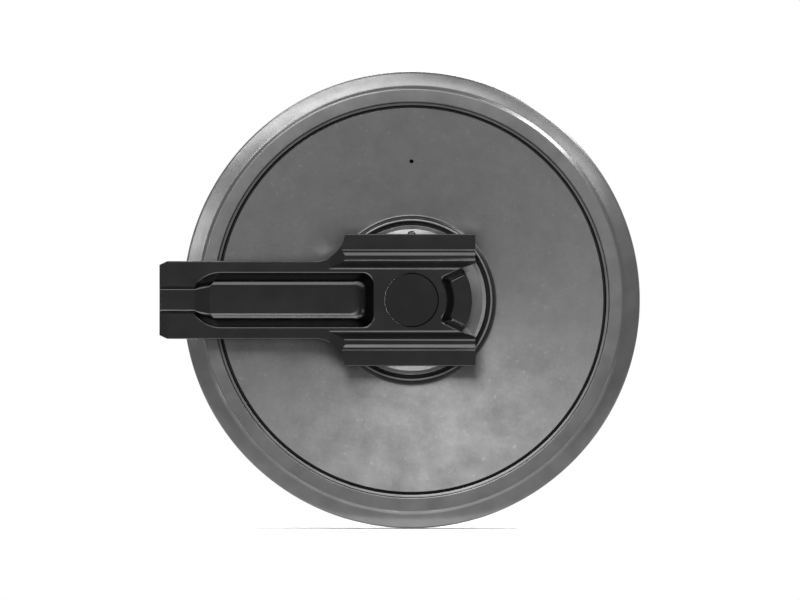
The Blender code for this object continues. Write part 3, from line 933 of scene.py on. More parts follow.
@dataclass
class Workshop:
    """Places finished meshes in the scene and keeps one material for each finish."""

    layout: Layout
    materials: dict[str, bpy.types.Material] = field(default_factory=dict)
    finished: list[bpy.types.Object] = field(default_factory=list)
    groups: dict[Lit, bpy.types.Collection] = field(init=False)

    def __post_init__(self) -> None:
        """Start the collections that single lamps shine on."""
        singled_out = [lit for lit in Lit if lit is not Lit.ALL]
        self.groups = {lit: bpy.data.collections.new(f"lit_{lit.value}") for lit in singled_out}

    def material(self, finish: Finish) -> bpy.types.Material:
        """Give a finish's material, which is made at its first use.

        Args:
            finish: Finish to look up.

        Returns:
            Its material.
        """
        if finish.name not in self.materials:
            self.materials[finish.name] = finish.material()
        return self.materials[finish.name]

    def place(
        self,
        mesh: bpy.types.Mesh,
        finish: Finish,
        body: Body,
        slot: Slot,
        node: str,
        outer: OuterFinish | None = None,
    ) -> None:
        """Put a mesh in the scene in place of a node.

        Args:
            mesh: Mesh in the frame's own coordinates; the piece takes its name.
            finish: What the surface looks like.
            body: Body that the piece moves with.
            slot: Material slot of the piece; it picks the group that single lamps shine on.
            node: Node that the piece stands for.
            outer: Second finish, for the faces further from the axle.
        """
        mesh.materials.clear()
        mesh.materials.append(self.material(finish))
        if outer:
            mesh.materials.append(self.material(outer.finish))
            for face in mesh.polygons:
                if math.hypot(face.center.x, face.center.z) > outer.beyond:
                    face.material_index = 1
        mesh.shade_smooth()
        mesh.set_sharp_from_angle(angle=SHARP_ANGLE)
        piece = bpy.data.objects.new(mesh.name, mesh)
        bpy.context.scene.collection.objects.link(piece)
        weighted = piece.modifiers.new("even_shading", "WEIGHTED_NORMAL")
        weighted.keep_sharp = True
        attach(piece, body.value)
        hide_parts(node)
        self.finished.append(piece)
        lit = Lit.RIM if node == "rim" else LIT_BY_SLOT.get(slot)
        if lit:
            self.groups[lit].objects.link(piece)
        log.info("%s stands for %s: %d faces", piece.name, node, len(mesh.polygons))


@dataclass
class RunningWheel:
    """Rim with its centre guide flange, two dished webs and the hub tube."""

    shop: Workshop
    flange_height: float = 0.0225
    flange_foot: float = 0.042
    flange_crest: float = 0.033
    foot_chamfer: float = 0.0036
    foot_edge: float = 0.0008
    foot_fillet: float = 0.006
    flange_bulge: float = 0.0005
    flange_bow: float = 0.140
    crest_round: float = 0.004
    rim_wall: float = 0.0254
    tread_edge: float = 0.0018
    recess_floor: float = 0.0032
    recess_dish: float = 0.0003
    recess_slope: float = 0.0006
    recess_round: float = 0.0020
    weld_slot: float = 0.0032
    weld_slot_depth: float = 0.010
    weld_slot_taper: float = 0.9
    # Painted shade in the weld slot: its level and how far below the web's face it starts
    slot_shade: float = 0.14
    slot_shade_top: float = 0.0015
    web_wall: float = 0.012
    web_edge: float = 0.0002
    weld_leg: float = 0.004
    weld_round: float = 0.003
    # Painted shade on the weld fillet round the hub: level, inner edge and fade
    weld_shade: float = 0.30
    weld_shade_edge: float = 0.0006
    weld_shade_fade: float = 0.002
    # How far painted shade reaches past the edge of its recess
    shade_overlap: float = 0.001
    vent_radius: float = 0.00265
    vent_height: float = 0.182
    hub_body: float = 0.070
    hub_flare: float = 0.008
    hub_flare_round: float = 0.006
    hub_backing: float = 0.005
    lip_wall: float = 0.0035
    lip_edge: float = 0.0010
    labyrinth_depth: float = 0.010
    labyrinth_edge: float = 0.0006
    # Painted shade in the labyrinth inside the hub's lip, and how far below the lip it starts
    labyrinth_shade: float = 0.08
    labyrinth_shade_top: float = 0.002
    bush_seat: float = 0.0443
    bush_length: float = 0.040
    reservoir_relief: float = 0.004
    reservoir_round: float = 0.002

    def rim_section(self) -> list[Point]:
        """Rounded section of the rim.

        Returns:
            Closed loop of (radius, y) points.
        """
        layout = self.shop.layout
        tread = layout.wheel_radius - self.flange_height
        bore = tread - self.rim_wall
        foot = bore + self.weld_slot + self.recess_floor
        slot_floor = layout.web_face - self.weld_slot_depth
        slope = (self.flange_foot - self.flange_crest) / self.flange_height
        chamfer_top = self.flange_foot - slope * self.foot_chamfer
        mid_radius = (layout.wheel_radius + tread + self.foot_chamfer) / 2
        mid_station = (self.flange_crest + chamfer_top) / 2 + self.flange_bulge
        half = [
            Corner(layout.wheel_radius, self.flange_crest, self.crest_round),
            Corner(mid_radius, mid_station, self.flange_bow),
            Corner(tread + self.foot_chamfer, chamfer_top, self.foot_fillet),
            Corner(tread, chamfer_top + self.foot_chamfer, self.foot_edge),
            Corner(tread, layout.rim_end, self.tread_edge),
            Corner(foot + self.recess_slope, layout.rim_end, self.recess_round),
            Corner(foot, layout.web_face),
            Corner(bore + self.weld_slot, layout.web_face - self.recess_dish, CAST),
            Corner(bore + self.weld_slot * self.weld_slot_taper, slot_floor, BROKEN),
            Corner(bore, slot_floor),
        ]
        far = [Corner(corner.u, -corner.v, corner.radius) for corner in reversed(half)]
        return rounded(half + far)

    def build_rim(self) -> None:
        """Make the rim."""
        layout = self.shop.layout
        mesh = lathe("running_rim", self.rim_section(), WHEEL_SEGMENTS)
        tread = layout.wheel_radius - self.flange_height
        band = (self.flange_foot + self.foot_chamfer, layout.rim_end - self.tread_edge)
        bore = tread - self.rim_wall
        # Painted shade darkens the weld slot between the rim and the web
        painted_shade = Grime(
            inner=bore - self.shade_overlap,
            outer=bore + self.weld_slot,
            mouth=layout.web_face - self.slot_shade_top,
            level=self.slot_shade,
        )
        finish = TreadFinish("rim_steel", tread, band, (painted_shade,))
        self.shop.place(mesh, finish, Body.WHEEL, Slot.CAST_GREY, "rim")

    def web_section(self) -> list[Point]:
        """Section of a dished web with its weld fillet at the hub.

        Returns:
            Closed loop of (radius, station) points.
        """
        layout = self.shop.layout
        bore = layout.hub_radius + SEAT_GAP
        inner_face = layout.web_back + self.web_wall
        slope = (layout.web_face - inner_face) / (layout.web_radius - bore)
        foot = bore + self.weld_leg
        return rounded(
            [
                Corner(bore, inner_face + self.weld_leg, BROKEN),
                Corner(foot, inner_face + slope * self.weld_leg, self.weld_round),
                Corner(layout.web_radius, layout.web_face, self.web_edge),
                Corner(layout.web_radius, layout.web_face - self.web_wall),
                Corner(bore, layout.web_back),
            ]
        )

    def build_webs(self) -> None:
        """Make both webs; the front one has the vent hole."""
        layout = self.shop.layout
        bore = layout.hub_radius + SEAT_GAP
        # Painted shade darkens the weld fillet round the hub
        weld = Grime(
            inner=bore - self.shade_overlap,
            outer=bore + self.weld_leg - self.weld_shade_edge,
            fade=self.weld_shade_fade,
            level=self.weld_shade,
        )
        grey = CastFinish("web_steel", (weld,))
        for side in Side:
            section = [(radius, side.value * station) for radius, station in self.web_section()]
            mesh = lathe(f"web_disc_{side.label}", section, WHEEL_SEGMENTS)
            if side is Side.FRONT:
                near = Vector((0.0, side.value * (layout.web_face + OVERCUT), self.vent_height))
                far = Vector((0.0, side.value * (layout.web_back - OVERCUT), self.vent_height))
                drill = rod("vent_drill", self.vent_radius, near, far)
                mesh = carved(mesh.name, mesh, [("DIFFERENCE", drill)])
            node = f"web_plate_{side.label}"
            self.shop.place(mesh, grey, Body.WHEEL, Slot.CAST_GREY, node)

    def hub_section(self) -> list[Point]:
        """Section of the hub: guard lips, seal counterbores, bushing seats and reservoir.

        Returns:
            Closed loop of (radius, y) points.
        """
        layout = self.shop.layout
        flare_top = layout.web_back - self.hub_backing
        floor = layout.housing_back - SEAT_GAP
        bore = layout.housing_radius + SEAT_GAP
        lip = layout.hub_radius - self.lip_wall
        labyrinth = layout.hub_end - self.labyrinth_depth
        bush_foot = floor - self.bush_length
        reservoir = self.bush_seat + self.reservoir_relief
        half = [
            Corner(self.hub_body, flare_top - self.hub_flare, self.hub_flare_round),
            Corner(layout.hub_radius, flare_top, CAST),
            Corner(layout.hub_radius, layout.hub_end, CAST),
            Corner(lip, layout.hub_end, self.lip_edge),
            Corner(lip, labyrinth),
            Corner(bore, labyrinth, self.labyrinth_edge),
            Corner(bore, floor),
            Corner(self.bush_seat, floor, self.labyrinth_edge),
            Corner(self.bush_seat, bush_foot),
            Corner(reservoir, bush_foot - self.reservoir_relief, self.reservoir_round),
        ]
        far = [Corner(corner.u, -corner.v, corner.radius) for corner in reversed(half)]
        return rounded(half + far, steps=3)

    def build_hub(self) -> None:
        """Make the hub."""
        layout = self.shop.layout
        mesh = lathe("hub_tube", self.hub_section(), HUB_SEGMENTS)
        lip = layout.hub_radius - self.lip_wall
        # Painted shade darkens the labyrinth gap inside the hub's lip
        gap = Grime(
            inner=layout.housing_radius,
            outer=lip + SEAT_GAP,
            mouth=layout.hub_end - self.labyrinth_shade_top,
            level=self.labyrinth_shade,
        )
        grey = CastFinish("hub_steel", (gap,))
        self.shop.place(mesh, grey, Body.WHEEL, Slot.CAST_GREY, "hub")

    def build(self) -> None:
        """Make rim, webs and hub."""
        self.build_rim()
        self.build_webs()
        self.build_hub()


@dataclass
class SealEnd:
    """Seal housing, bushing and floating seal at one end of the hub."""

    shop: Workshop
    side: Side
    cavity_radius: float = 0.0615
    cavity_flare: float = 0.0045
    housing_foot: float = 0.004
    face_edge: float = 0.0930
    face_step: float = 0.0005
    rim_slope: float = 0.0001
    foot_round: float = 0.002
    mouth_round: float = 0.001
    # Painted shade on the housing's rim in the gap to the hub: level, start below the hub's end,
    # reach past the rim
    gap_shade: float = 0.08
    gap_shade_top: float = 0.002
    shade_overlap: float = 0.0001
    outer_level: float = 0.060
    outer_overlap: float = 0.0002
    running_gap: float = 0.001
    ring_bore: float = 0.046
    neck_wall: float = 0.0045
    face_wall: float = 0.0125
    face_thickness: float = 0.0034
    face_rim: float = 0.0006
    rubber_section: float = 0.0104
    rubber_steps: int = 20
    bush_wall: float = 0.0087
    bush_flange: float = 0.010
    bush_flange_thickness: float = 0.004
    bush_length: float = 0.040
    steel: TurnedFinish = TurnedFinish("turned_steel")
    iron: TurnedFinish = TurnedFinish("lapped_iron", level=0.34, roughness=0.22, anisotropy=0.4)
    bronze: TurnedFinish = TurnedFinish("bearing_bronze", (1.0, 0.62, 0.24), 0.42, 0.3)
    rubber: RubberFinish = RubberFinish("seal_rubber")

    def turn(
        self,
        name: str,
        section: Sequence[Point],
        finish: Finish,
        body: Body,
        slot: Slot,
        outer: OuterFinish | None = None,
    ) -> None:
        """Turn a closed section and put it in place of the node of that name.

        Args:
            name: Node's name without its side.
            section: Closed loop of (radius, station) points.
            finish: Finish of the piece.
            body: Body that it rides on.
            slot: Material slot of the piece.
            outer: Second finish, for the faces further from the axle.
        """
        placed = [(radius, self.side.value * station) for radius, station in section]
        mesh = lathe(f"{name}_fine_{self.side.label}", placed, HUB_SEGMENTS)
        self.shop.place(mesh, finish, body, slot, f"{name}_{self.side.label}", outer)

    def build_housing(self) -> None:
        """Make the steel ring whose face shows round the bracket's boss."""
        layout = self.shop.layout
        foot = layout.housing_back + self.housing_foot
        seat = self.cavity_radius - self.cavity_flare
        flare_end = layout.housing_end - self.cavity_flare
        section = rounded(
            [
                Corner(self.cavity_radius + self.cavity_flare, layout.housing_end, BROKEN),
                Corner(self.face_edge, layout.housing_end, CRISP),
                Corner(self.face_edge, layout.housing_end - self.face_step),
                Corner(layout.housing_radius, layout.housing_end - self.rim_slope, TURNED),
                Corner(layout.housing_radius, layout.housing_back, TURNED),
                Corner(seat, layout.housing_back),
                Corner(seat, foot, BROKEN),
                Corner(self.cavity_radius, foot + self.cavity_flare / 2, self.foot_round),
                Corner(self.cavity_radius, flare_end, self.mouth_round),
            ]
        )
        # Painted shade darkens the housing's rim where it sinks into the gap to the hub
        gap = Grime(
            inner=layout.housing_radius - self.shade_overlap,
            mouth=layout.hub_end - self.gap_shade_top,
            level=self.gap_shade,
        )
        dull = CastFinish("housing_rim_steel", (gap,), self.outer_level)
        outer = OuterFinish(dull, self.face_edge - self.outer_overlap)
        self.turn("seal_housing", section, self.steel, Body.WHEEL, Slot.MACHINED_STEEL, outer)

    def build_bushing(self) -> None:
        """Make the flanged plain bearing."""
        layout = self.shop.layout
        bore = layout.axle_radius + SEAT_GAP
        radius = bore + self.bush_wall
        back = layout.housing_back
        face = back + self.bush_flange_thickness
        tail = back - SEAT_GAP - self.bush_length
        section = rounded(
            [
                Corner(bore, face, BROKEN),
                Corner(radius + self.bush_flange, face, BROKEN),
                Corner(radius + self.bush_flange, back, CRISP),
                Corner(radius, back, CRISP),
                Corner(radius, tail, BROKEN),
                Corner(bore, tail, BROKEN),
            ],
            steps=2,
        )
        self.turn("bushing", section, self.bronze, Body.WHEEL, Slot.BRONZE)

    def build_seal_half(self, kind: str, outward: int, body: Body) -> None:
        """Make one lapped ring and the rubber ring that loads it.

        Args:
            kind: Word that the half's nodes start with.
            outward: 1 for the half in the bracket, -1 for the half in the wheel.
            body: Body that the half rides on.
        """
        meeting = self.shop.layout.housing_end + self.running_gap
        face = meeting + outward * SEAT_GAP / 2
        setback = self.face_thickness + self.face_rim + self.rubber_section / 2 + 2 * SEAT_GAP
        back = meeting + outward * (setback + self.rubber_section / 2)
        shoulder = face + outward * self.face_thickness
        neck = self.ring_bore + self.neck_wall
        section = rounded(
            [
                Corner(self.ring_bore, face, CRISP),
                Corner(self.ring_bore + self.face_wall, face, LAPPED),
                Corner(self.ring_bore + self.face_wall, shoulder, LAPPED),
                Corner(neck, shoulder + outward * self.face_rim),
                Corner(neck, back, LAPPED),
                Corner(self.ring_bore, back, LAPPED),
            ],
            steps=2,
        )
        self.turn(f"{kind}_seal_ring", section, self.iron, body, Slot.SEAL_IRON)
        centre = (neck + SEAT_GAP + self.rubber_section / 2, meeting + outward * setback)
        circle = arc(centre, self.rubber_section / 2, 0, 360, self.rubber_steps)[:-1]
        self.turn(f"{kind}_toric", circle, self.rubber, body, Slot.RUBBER)

    def build(self) -> None:
        """Make the pieces of this end."""
        self.build_housing()
        self.build_bushing()
        self.build_seal_half("rotating", -1, Body.WHEEL)
        self.build_seal_half("stationary", 1, Body.CARRIER)


@dataclass
class FixedAxle:
    """Axle with its oil bore, O-rings, filler plug and washer."""

    shop: Workshop
    end_relief: float = 0.0008
    end_land: float = 0.004
    # Painted shade in the gap round the axle's ends: level, start below the end, fade
    end_shade: float = 0.05
    end_shade_top: float = 0.0015
    end_shade_fade: float = 0.0005
    paint_level: float = 0.013
    paint_roughness: float = 0.30
    waist_relief: float = 0.001
    waist: float = 0.0257
    ring_section: float = 0.0032
    ring_station: float = 0.1058
    ring_steps: int = 12
    groove_edge: float = 0.0002
    passage: float = 0.005
    passage_reach: float = 0.020
    cross_drill: float = 0.004
    pin_hole: float = 0.00555
    plug_radius: float = 0.008
    plug_length: float = 0.016
    plug_tip: float = 0.001
    head_radius: float = 0.012
    head_thickness: float = 0.0044
    head_sunk: float = 0.0005
    socket_width: float = 0.010
    socket_depth: float = 0.0055
    washer: float = 0.0015
    zinc: TurnedFinish = TurnedFinish("plug_steel", level=0.10, roughness=0.32, anisotropy=0.3)
    copper: TurnedFinish = TurnedFinish("soft_copper", (1.0, 0.46, 0.25), 0.52, 0.35, 0.2)
    rubber: RubberFinish = RubberFinish("seal_rubber")

    @property
    def paint(self) -> PaintFinish:
        """Paint of the axle, with painted shade in the gap round its ends.

        Returns:
            The finish.
        """
        layout = self.shop.layout
        # Painted shade darkens the gap round each end of the axle
        gap = Grime(
            inner=layout.axle_radius - self.end_relief,
            mouth=layout.axle_end - self.end_shade_top,
            fade=self.end_shade_fade,
            level=self.end_shade,
        )
        return PaintFinish("axle_black", (gap,), self.paint_level, roughness=self.paint_roughness)

    @property
    def seat(self) -> float:
        """Station of the face that the washer rests on."""
        stack = self.head_sunk + self.head_thickness + self.washer + 2 * SEAT_GAP
        return self.shop.layout.axle_end - stack

    def section(self) -> list[Point]:
        """Outer side of the axle and its filler bore, from the front end to the bore's end.

        Returns:
            Open chain of (radius, y) points that starts and ends on the axis.
        """
        layout = self.shop.layout
        radius = layout.axle_radius
        groove = self.ring_section + 2 * SEAT_GAP
        floor = radius - self.ring_section
        near = self.ring_station - groove / 2
        far = self.ring_station + groove / 2
        half = [
            Corner(radius - self.waist_relief, self.waist - self.waist_relief),
            Corner(radius, self.waist),
            Corner(radius, near, self.groove_edge),
            Corner(floor, near),
            Corner(floor, far),
            Corner(radius, far, self.groove_edge),
            Corner(radius, layout.axle_end - self.end_land),
            Corner(radius - self.end_relief, layout.axle_end - self.end_land),
            Corner(radius - self.end_relief, layout.axle_end),
        ]
        front = [Corner(corner.u, -corner.v, corner.radius) for corner in reversed(half)]
        wide = self.head_radius + SEAT_GAP
        narrow = self.plug_radius + SEAT_GAP
        tip = self.seat - self.plug_length
        bore = [
            Corner(wide, layout.axle_end, LAPPED),
            Corner(wide, self.seat),
            Corner(narrow, self.seat, CRISP),
            Corner(narrow, tip),
            Corner(self.passage, tip - self.passage),
            Corner(self.passage, -self.passage_reach),
            Corner(0.0, -self.passage_reach - self.passage / 2),
        ]
        start = Corner(0.0, -layout.axle_end)
        return rounded([start] + front + half + bore, closed=False, steps=3)

    def build_axle(self) -> None:
        """Make the axle and drill it for the oil and the lock pins."""
        layout = self.shop.layout
        reach = layout.axle_radius + OVERCUT
        mesh = lathe("fixed_axle", self.section(), HUB_SEGMENTS, closed=False)
        above = Vector((0.0, 0.0, reach))
        drill = rod("cross_drill", self.cross_drill, -above, above)
        steps = [("DIFFERENCE", drill)]
        for side in Side:
            station = side.value * layout.pin_station
            foot = Vector((0.0, station, layout.pin_foot - SEAT_GAP))
            seat = rod(f"pin_seat_{side.label}", self.pin_hole, foot, Vector((0.0, station, reach)))
            steps.append(("DIFFERENCE", seat))
        mesh = carved("fixed_axle", mesh, steps)
        self.shop.place(mesh, self.paint, Body.CARRIER, Slot.AXLE_STEEL, "axle")

    def build_rings(self) -> None:
        """Make the two O-rings."""
        middle = self.shop.layout.axle_radius - self.ring_section / 2
        for side in Side:
            centre = (middle, side.value * self.ring_station)
            circle = arc(centre, self.ring_section / 2, 0, 360, self.ring_steps)[:-1]
            mesh = lathe(f"o_ring_{side.label}", circle, SMALL_SEGMENTS)
            node = f"axle_o_ring_{side.label}"
            self.shop.place(mesh, self.rubber, Body.CARRIER, Slot.RUBBER, node)

    def build_plug(self) -> None:
        """Make the filler plug with its hexagon socket, and the washer under its head."""
        face = self.shop.layout.axle_end - self.head_sunk
        back = face - self.head_thickness
        tip = self.seat - self.plug_length + SEAT_GAP
        section = rounded(
            [
                Corner(0.0, tip),
                Corner(self.plug_radius, tip, self.plug_tip),
                Corner(self.plug_radius, back),
                Corner(self.head_radius, back, CRISP),
                Corner(self.head_radius, face, BROKEN),
                Corner(0.0, face),
            ],
            closed=False,
            steps=3,
        )
        mesh = lathe("filler_plug", section, SMALL_SEGMENTS, closed=False)
        across_corners = self.socket_width / math.sqrt(3)
        key = bmesh.new()
        bmesh.ops.create_cone(
            key,
            cap_ends=True,
            segments=6,
            radius1=across_corners,
            radius2=across_corners,
            depth=self.socket_depth * 2,
            matrix=Matrix.Translation((0.0, face, 0.0)) @ Matrix.Rotation(math.pi / 2, 4, "X"),
        )
        mesh = carved("filler_plug", mesh, [("DIFFERENCE", mesh_from("hexagon_key", key))])
        self.shop.place(mesh, self.zinc, Body.CARRIER, Slot.PIN_STEEL, "oil_plug")
        low = self.seat + SEAT_GAP
        ring = rounded(
            [
                Corner(self.plug_radius + SEAT_GAP, low, CRISP),
                Corner(self.head_radius, low, CRISP),
                Corner(self.head_radius, low + self.washer, CRISP),
                Corner(self.plug_radius + SEAT_GAP, low + self.washer, CRISP),
            ],
            steps=2,
        )
        washer = lathe("sealing_washer", ring, SMALL_SEGMENTS)
        self.shop.place(washer, self.copper, Body.CARRIER, Slot.COPPER, "plug_washer")

    def build(self) -> None:
        """Make the axle and what sits on it."""
        self.build_axle()
        self.build_rings()
        self.build_plug()


@dataclass
class BearingBracket:
    """Cast bracket with a grooved guide block, a round boss and a channelled arm."""

    shop: Workshop
    plate_back: float = 0.100
    ledge_face: float = 0.108
    edge_round: float = 0.0013
    lip_round: float = 0.0033
    lip_run: float = 0.003
    lip_lift: float = 0.00025
    block_back: float = 0.0868
    arm_half: float = 0.051
    arm_end: Point = (0.0105, 0.005)
    gusset: float = 0.040
    gusset_steps: int = 20
    boss_radius: float = 0.079
    boss_edge: float = 0.001
    notch_leg: float = 0.0125
    pad_half: float = 0.0418
    groove_depth: float = 0.0125
    groove_lip_run: float = 0.0045
    groove_lip_round: float = 0.0065
    wall_run: float = 0.0105
    wall_bend: float = math.radians(16)
    wall_fillet: float = 0.006
    ramp_length: float = 0.021
    floor_end: float = 0.0163
    floor_round: float = 0.0015
    ridge_run: float = 0.0046
    ridge_rise: float = 0.0018
    ridge_round: float = 0.004
    ledge_width: float = 0.0019
    ledge_round: float = 0.0010
    step_run: float = 0.0016
    band_rise: float = 0.0029
    band_round: float = 0.0015
    channel_half: float = 0.0359
    channel_wall: float = 0.0137
    channel_corner: float = 0.015
    channel_foot_corner: float = 0.012
    channel_corner_steps: int = 12
    channel_depth: float = 0.020
    channel_wall_run: float = 0.0125
    channel_fillet: float = 0.0120
    channel_draft: float = 0.0193
    channel_end_draft: float = 0.0215
    channel_mouth: float = 0.250
    slot_start: float = 0.284
    slot_half: float = 0.0188
    slot_depth: float = 0.010
    slot_draft: float = 0.0063
    ramp_foot: float = 0.2638
    mouth_bend: float = 0.8
    mouth_steps: int = 18
    scallop_wall: float = 0.011
    scallop_draft: float = 0.009
    scallop_spread: float = math.radians(26)
    scallop_corner: float = 0.006
    scallop_fillet: float = 0.003
    scallop_steps: int = 12
    scallop_corner_steps: int = 8
    seal_cavity: float = 0.0615
    seal_cavity_floor: float = 0.1028
    cavity_flare: float = 0.0045
    cavity_edge: float = 0.001
    cavity_fillet: float = 0.0015
    pin_hole: float = 0.00555
    bolt_hole: float = 0.007
    bolt_depth: float = 0.030
    bolt_height: float = 0.030
    bolt_station: float = 0.119
    # Painted shade in the channel's inner end and in the seam round the axle
    soot_lead: float = 0.005
    soot_fade: float = 0.012
    seam_shade: float = 0.05
    seam_overlap: float = 0.0002

    @property
    def face(self) -> float:
        """Station of the outer face."""
        return self.shop.layout.axle_end

    @property
    def paint(self) -> PaintFinish:
        """Paint of both brackets, with painted shade on the channel's walls and end, and at the
        bore.

        Returns:
            The finish.
        """
        # Painted shade: in the channel's inner end, in the seam round the bore, and on the
        # channel's steep walls
        end = -self.bore - self.channel_wall
        start = end - self.channel_end_draft - self.soot_lead
        channel_end_shade = Soot(start, end, self.channel_half, self.face, self.soot_fade)
        seam = Grime(0.0, self.bore + self.seam_overlap, fade=SEAT_GAP, level=self.seam_shade)
        walls = WallShade(self.channel_half + self.lip_run / 2)
        return PaintFinish("bracket_black", (channel_end_shade, seam, walls))

    @property
    def bore(self) -> float:
        """Radius of the bore for the axle."""
        return self.shop.layout.axle_radius + SEAT_GAP

    def outline(self) -> list[Point]:
        """Plan of the casting.

        Returns:
            Closed loop of (x, z) points.
        """
        layout = self.shop.layout
        notch_x = self.boss_radius * math.cos(self.scallop_spread)
        notch_z = self.boss_radius * math.sin(self.scallop_spread)
        centre = (-self.block_back - self.gusset, self.arm_half + self.gusset)
        meeting = math.degrees(math.asin((layout.block_half - centre[1]) / self.gusset))
        end_length, end_drop = self.arm_end
        half = [
            (notch_x - self.notch_leg, notch_z - self.notch_leg),
            (layout.block_front, notch_z + layout.block_front - notch_x),
            (layout.block_front, layout.block_half),
        ]
        half += arc(centre, self.gusset, meeting, -90, self.gusset_steps)
        half += [
            (-layout.arm_reach + end_length, self.arm_half),
            (-layout.arm_reach, self.arm_half - end_drop),
        ]
        return half + [(x, -z) for x, z in reversed(half)]

    def blank(self) -> bpy.types.Mesh:
        """Make the plate with rounded edges on both faces.

        Returns:
            A closed mesh.
        """
        outline = self.outline()
        turns = [math.radians(90 * step / ROUND_STEPS) for step in range(ROUND_STEPS + 1)]
        round_off = [
            (self.edge_round * (1 - math.cos(turn)), self.edge_round * (1 - math.sin(turn)))
            for turn in turns
        ]
        levels = [(depth, self.plate_back + rise) for depth, rise in reversed(round_off)]
        levels += [(depth, self.face - rise) for depth, rise in round_off]
        rings = [[(x, station, z) for x, z in inset(outline, depth)] for depth, station in levels]
        return loft("bracket_plate", rings)

    def boss(self) -> bpy.types.Mesh:
        """Make the round boss that houses the still half of the seal.

        Returns:
            A closed mesh.
        """
        section = rounded(
            [
                Corner(0.0, self.shop.layout.boss_face),
                Corner(self.boss_radius, self.shop.layout.boss_face, self.boss_edge),
                Corner(self.boss_radius, self.ledge_face, self.edge_round),
                Corner(0.0, self.ledge_face),
            ],
            closed=False,
        )
        return lathe("bracket_boss", section, HUB_SEGMENTS, closed=False)

    def wallshade_wall(self, steps: int = 4) -> list[Corner]:
        """Points on a groove's hollow wall, below its lip and above its foot.

        Args:
            steps: Chords between lip and foot.

        Returns:
            Corners of (height, station) with no rounding.
        """
        lean = math.atan2(self.groove_depth, self.wall_run)
        bow = math.hypot(self.groove_depth, self.wall_run) / (2 * math.sin(self.wall_bend / 2))
        steep = lean + self.wall_bend / 2
        corners = []
        for step in range(1, steps):
            turn = steep - self.wall_bend * step / steps
            height = self.pad_half + bow * (math.sin(steep) - math.sin(turn))
            station = self.face - bow * (math.cos(turn) - math.cos(steep))
            corners.append(Corner(height, station))
        return corners

    def groove_section(self) -> list[Point]:
        """Section of a guide groove, with rounded lips, and of the space outside it.

        Returns:
            Closed loop of (height, station) points.
        """
        pad = self.pad_half
        floor = self.face - self.groove_depth
        ridge_end = pad + self.floor_end + self.ridge_run
        ledge_end = ridge_end + self.ledge_width
        ledge = floor + self.ridge_rise
        band = floor + self.band_rise
        block = self.shop.layout.block_half
        above = self.face + OVERCUT
        return rounded(
            [
                Corner(pad - self.groove_lip_run, above),
                Corner(pad - self.groove_lip_run, self.face + self.lip_lift),
                Corner(pad, self.face, self.groove_lip_round),
                *self.wallshade_wall(),
                Corner(pad + self.wall_run, floor, self.wall_fillet),
                Corner(pad + self.floor_end, floor, self.floor_round),
                Corner(ridge_end, ledge, self.ridge_round),
                Corner(ledge_end, ledge, self.ledge_round),
                Corner(ledge_end + self.step_run, band, self.band_round),
                Corner(block, band, self.edge_round),
                Corner(block + self.lip_lift, band - self.lip_run),
                Corner(block + OVERCUT, band - self.lip_run),
                Corner(block + OVERCUT, above),
            ]
        )

    def groove(self, up: int) -> bpy.types.Mesh:
        """Make the cutter for one groove, with its ramped inner end.

        Args:
            up: 1 for the groove above the pad, -1 for the one below.

        Returns:
            The cutter.
        """
        floor = self.face - self.groove_depth
        ramp = self.ramp_length / self.groove_depth
        inner = []
        outer = []
        for height, station in self.groove_section():
            inner.append((-self.block_back - ramp * (station - floor), station, up * height))
            outer.append((self.shop.layout.block_front + OVERCUT, station, up * height))
        return loft("groove_above" if up > 0 else "groove_below", [inner, outer])

    def channel_row(self, share: float, depth: float) -> list[Place]:
        """Upper half of the channel's outline at one level.

        Args:
            share: How far the walls have come in, from 0 at the face to 1 at the floor.
            depth: Depth as a share of the floor's.

        Returns:
            Points as (x, z, depth below the face).
        """
        end = self.bore + self.channel_wall + share * self.channel_end_draft
        height = self.channel_half - share * self.channel_draft
        corner = self.channel_corner - share * (self.channel_corner - self.channel_foot_corner)
        mouth = self.channel_mouth + share * (self.ramp_foot - self.channel_mouth)
        slot_half = self.slot_half - share * self.slot_draft
        turn = arc((-end - corner, height - corner), corner, 0, 90, self.channel_corner_steps)
        row = [(x, z, depth * self.channel_depth) for x, z in turn]
        full_bend = 1 - math.sqrt(1 - self.mouth_bend ** 2)
        for step in range(self.mouth_steps + 1):
            part = step / self.mouth_steps
            bend = 1 - math.sqrt(1 - (part * self.mouth_bend) ** 2)
            drop = part * share + bend / full_bend * (1 - share)
            level = self.channel_depth + (self.slot_depth - self.channel_depth) * part
            x = -mouth - part * (self.slot_start - mouth)
            row.append((x, height - drop * (height - slot_half), depth * level))
        row.append((-self.shop.layout.arm_reach - OVERCUT, slot_half, depth * self.slot_depth))
        return row

    def channel_levels(self) -> list[Point]:
        """Levels of the channel's walls, from the rounded lip to the rounded foot.

        Returns:
            For each level, how far the walls have come in and its depth, as shares.
        """
        wall = rounded(
            [
                Corner(-self.lip_run, -self.lip_lift),
                Corner(0.0, 0.0, self.lip_round),
                Corner(self.channel_wall_run, self.channel_depth, self.channel_fillet),
                Corner(self.channel_draft + self.lip_run, self.channel_depth),
            ],
            closed=False,
            steps=6,
        )[:-1]
        return [(run / self.channel_draft, drop / self.channel_depth) for run, drop in wall]

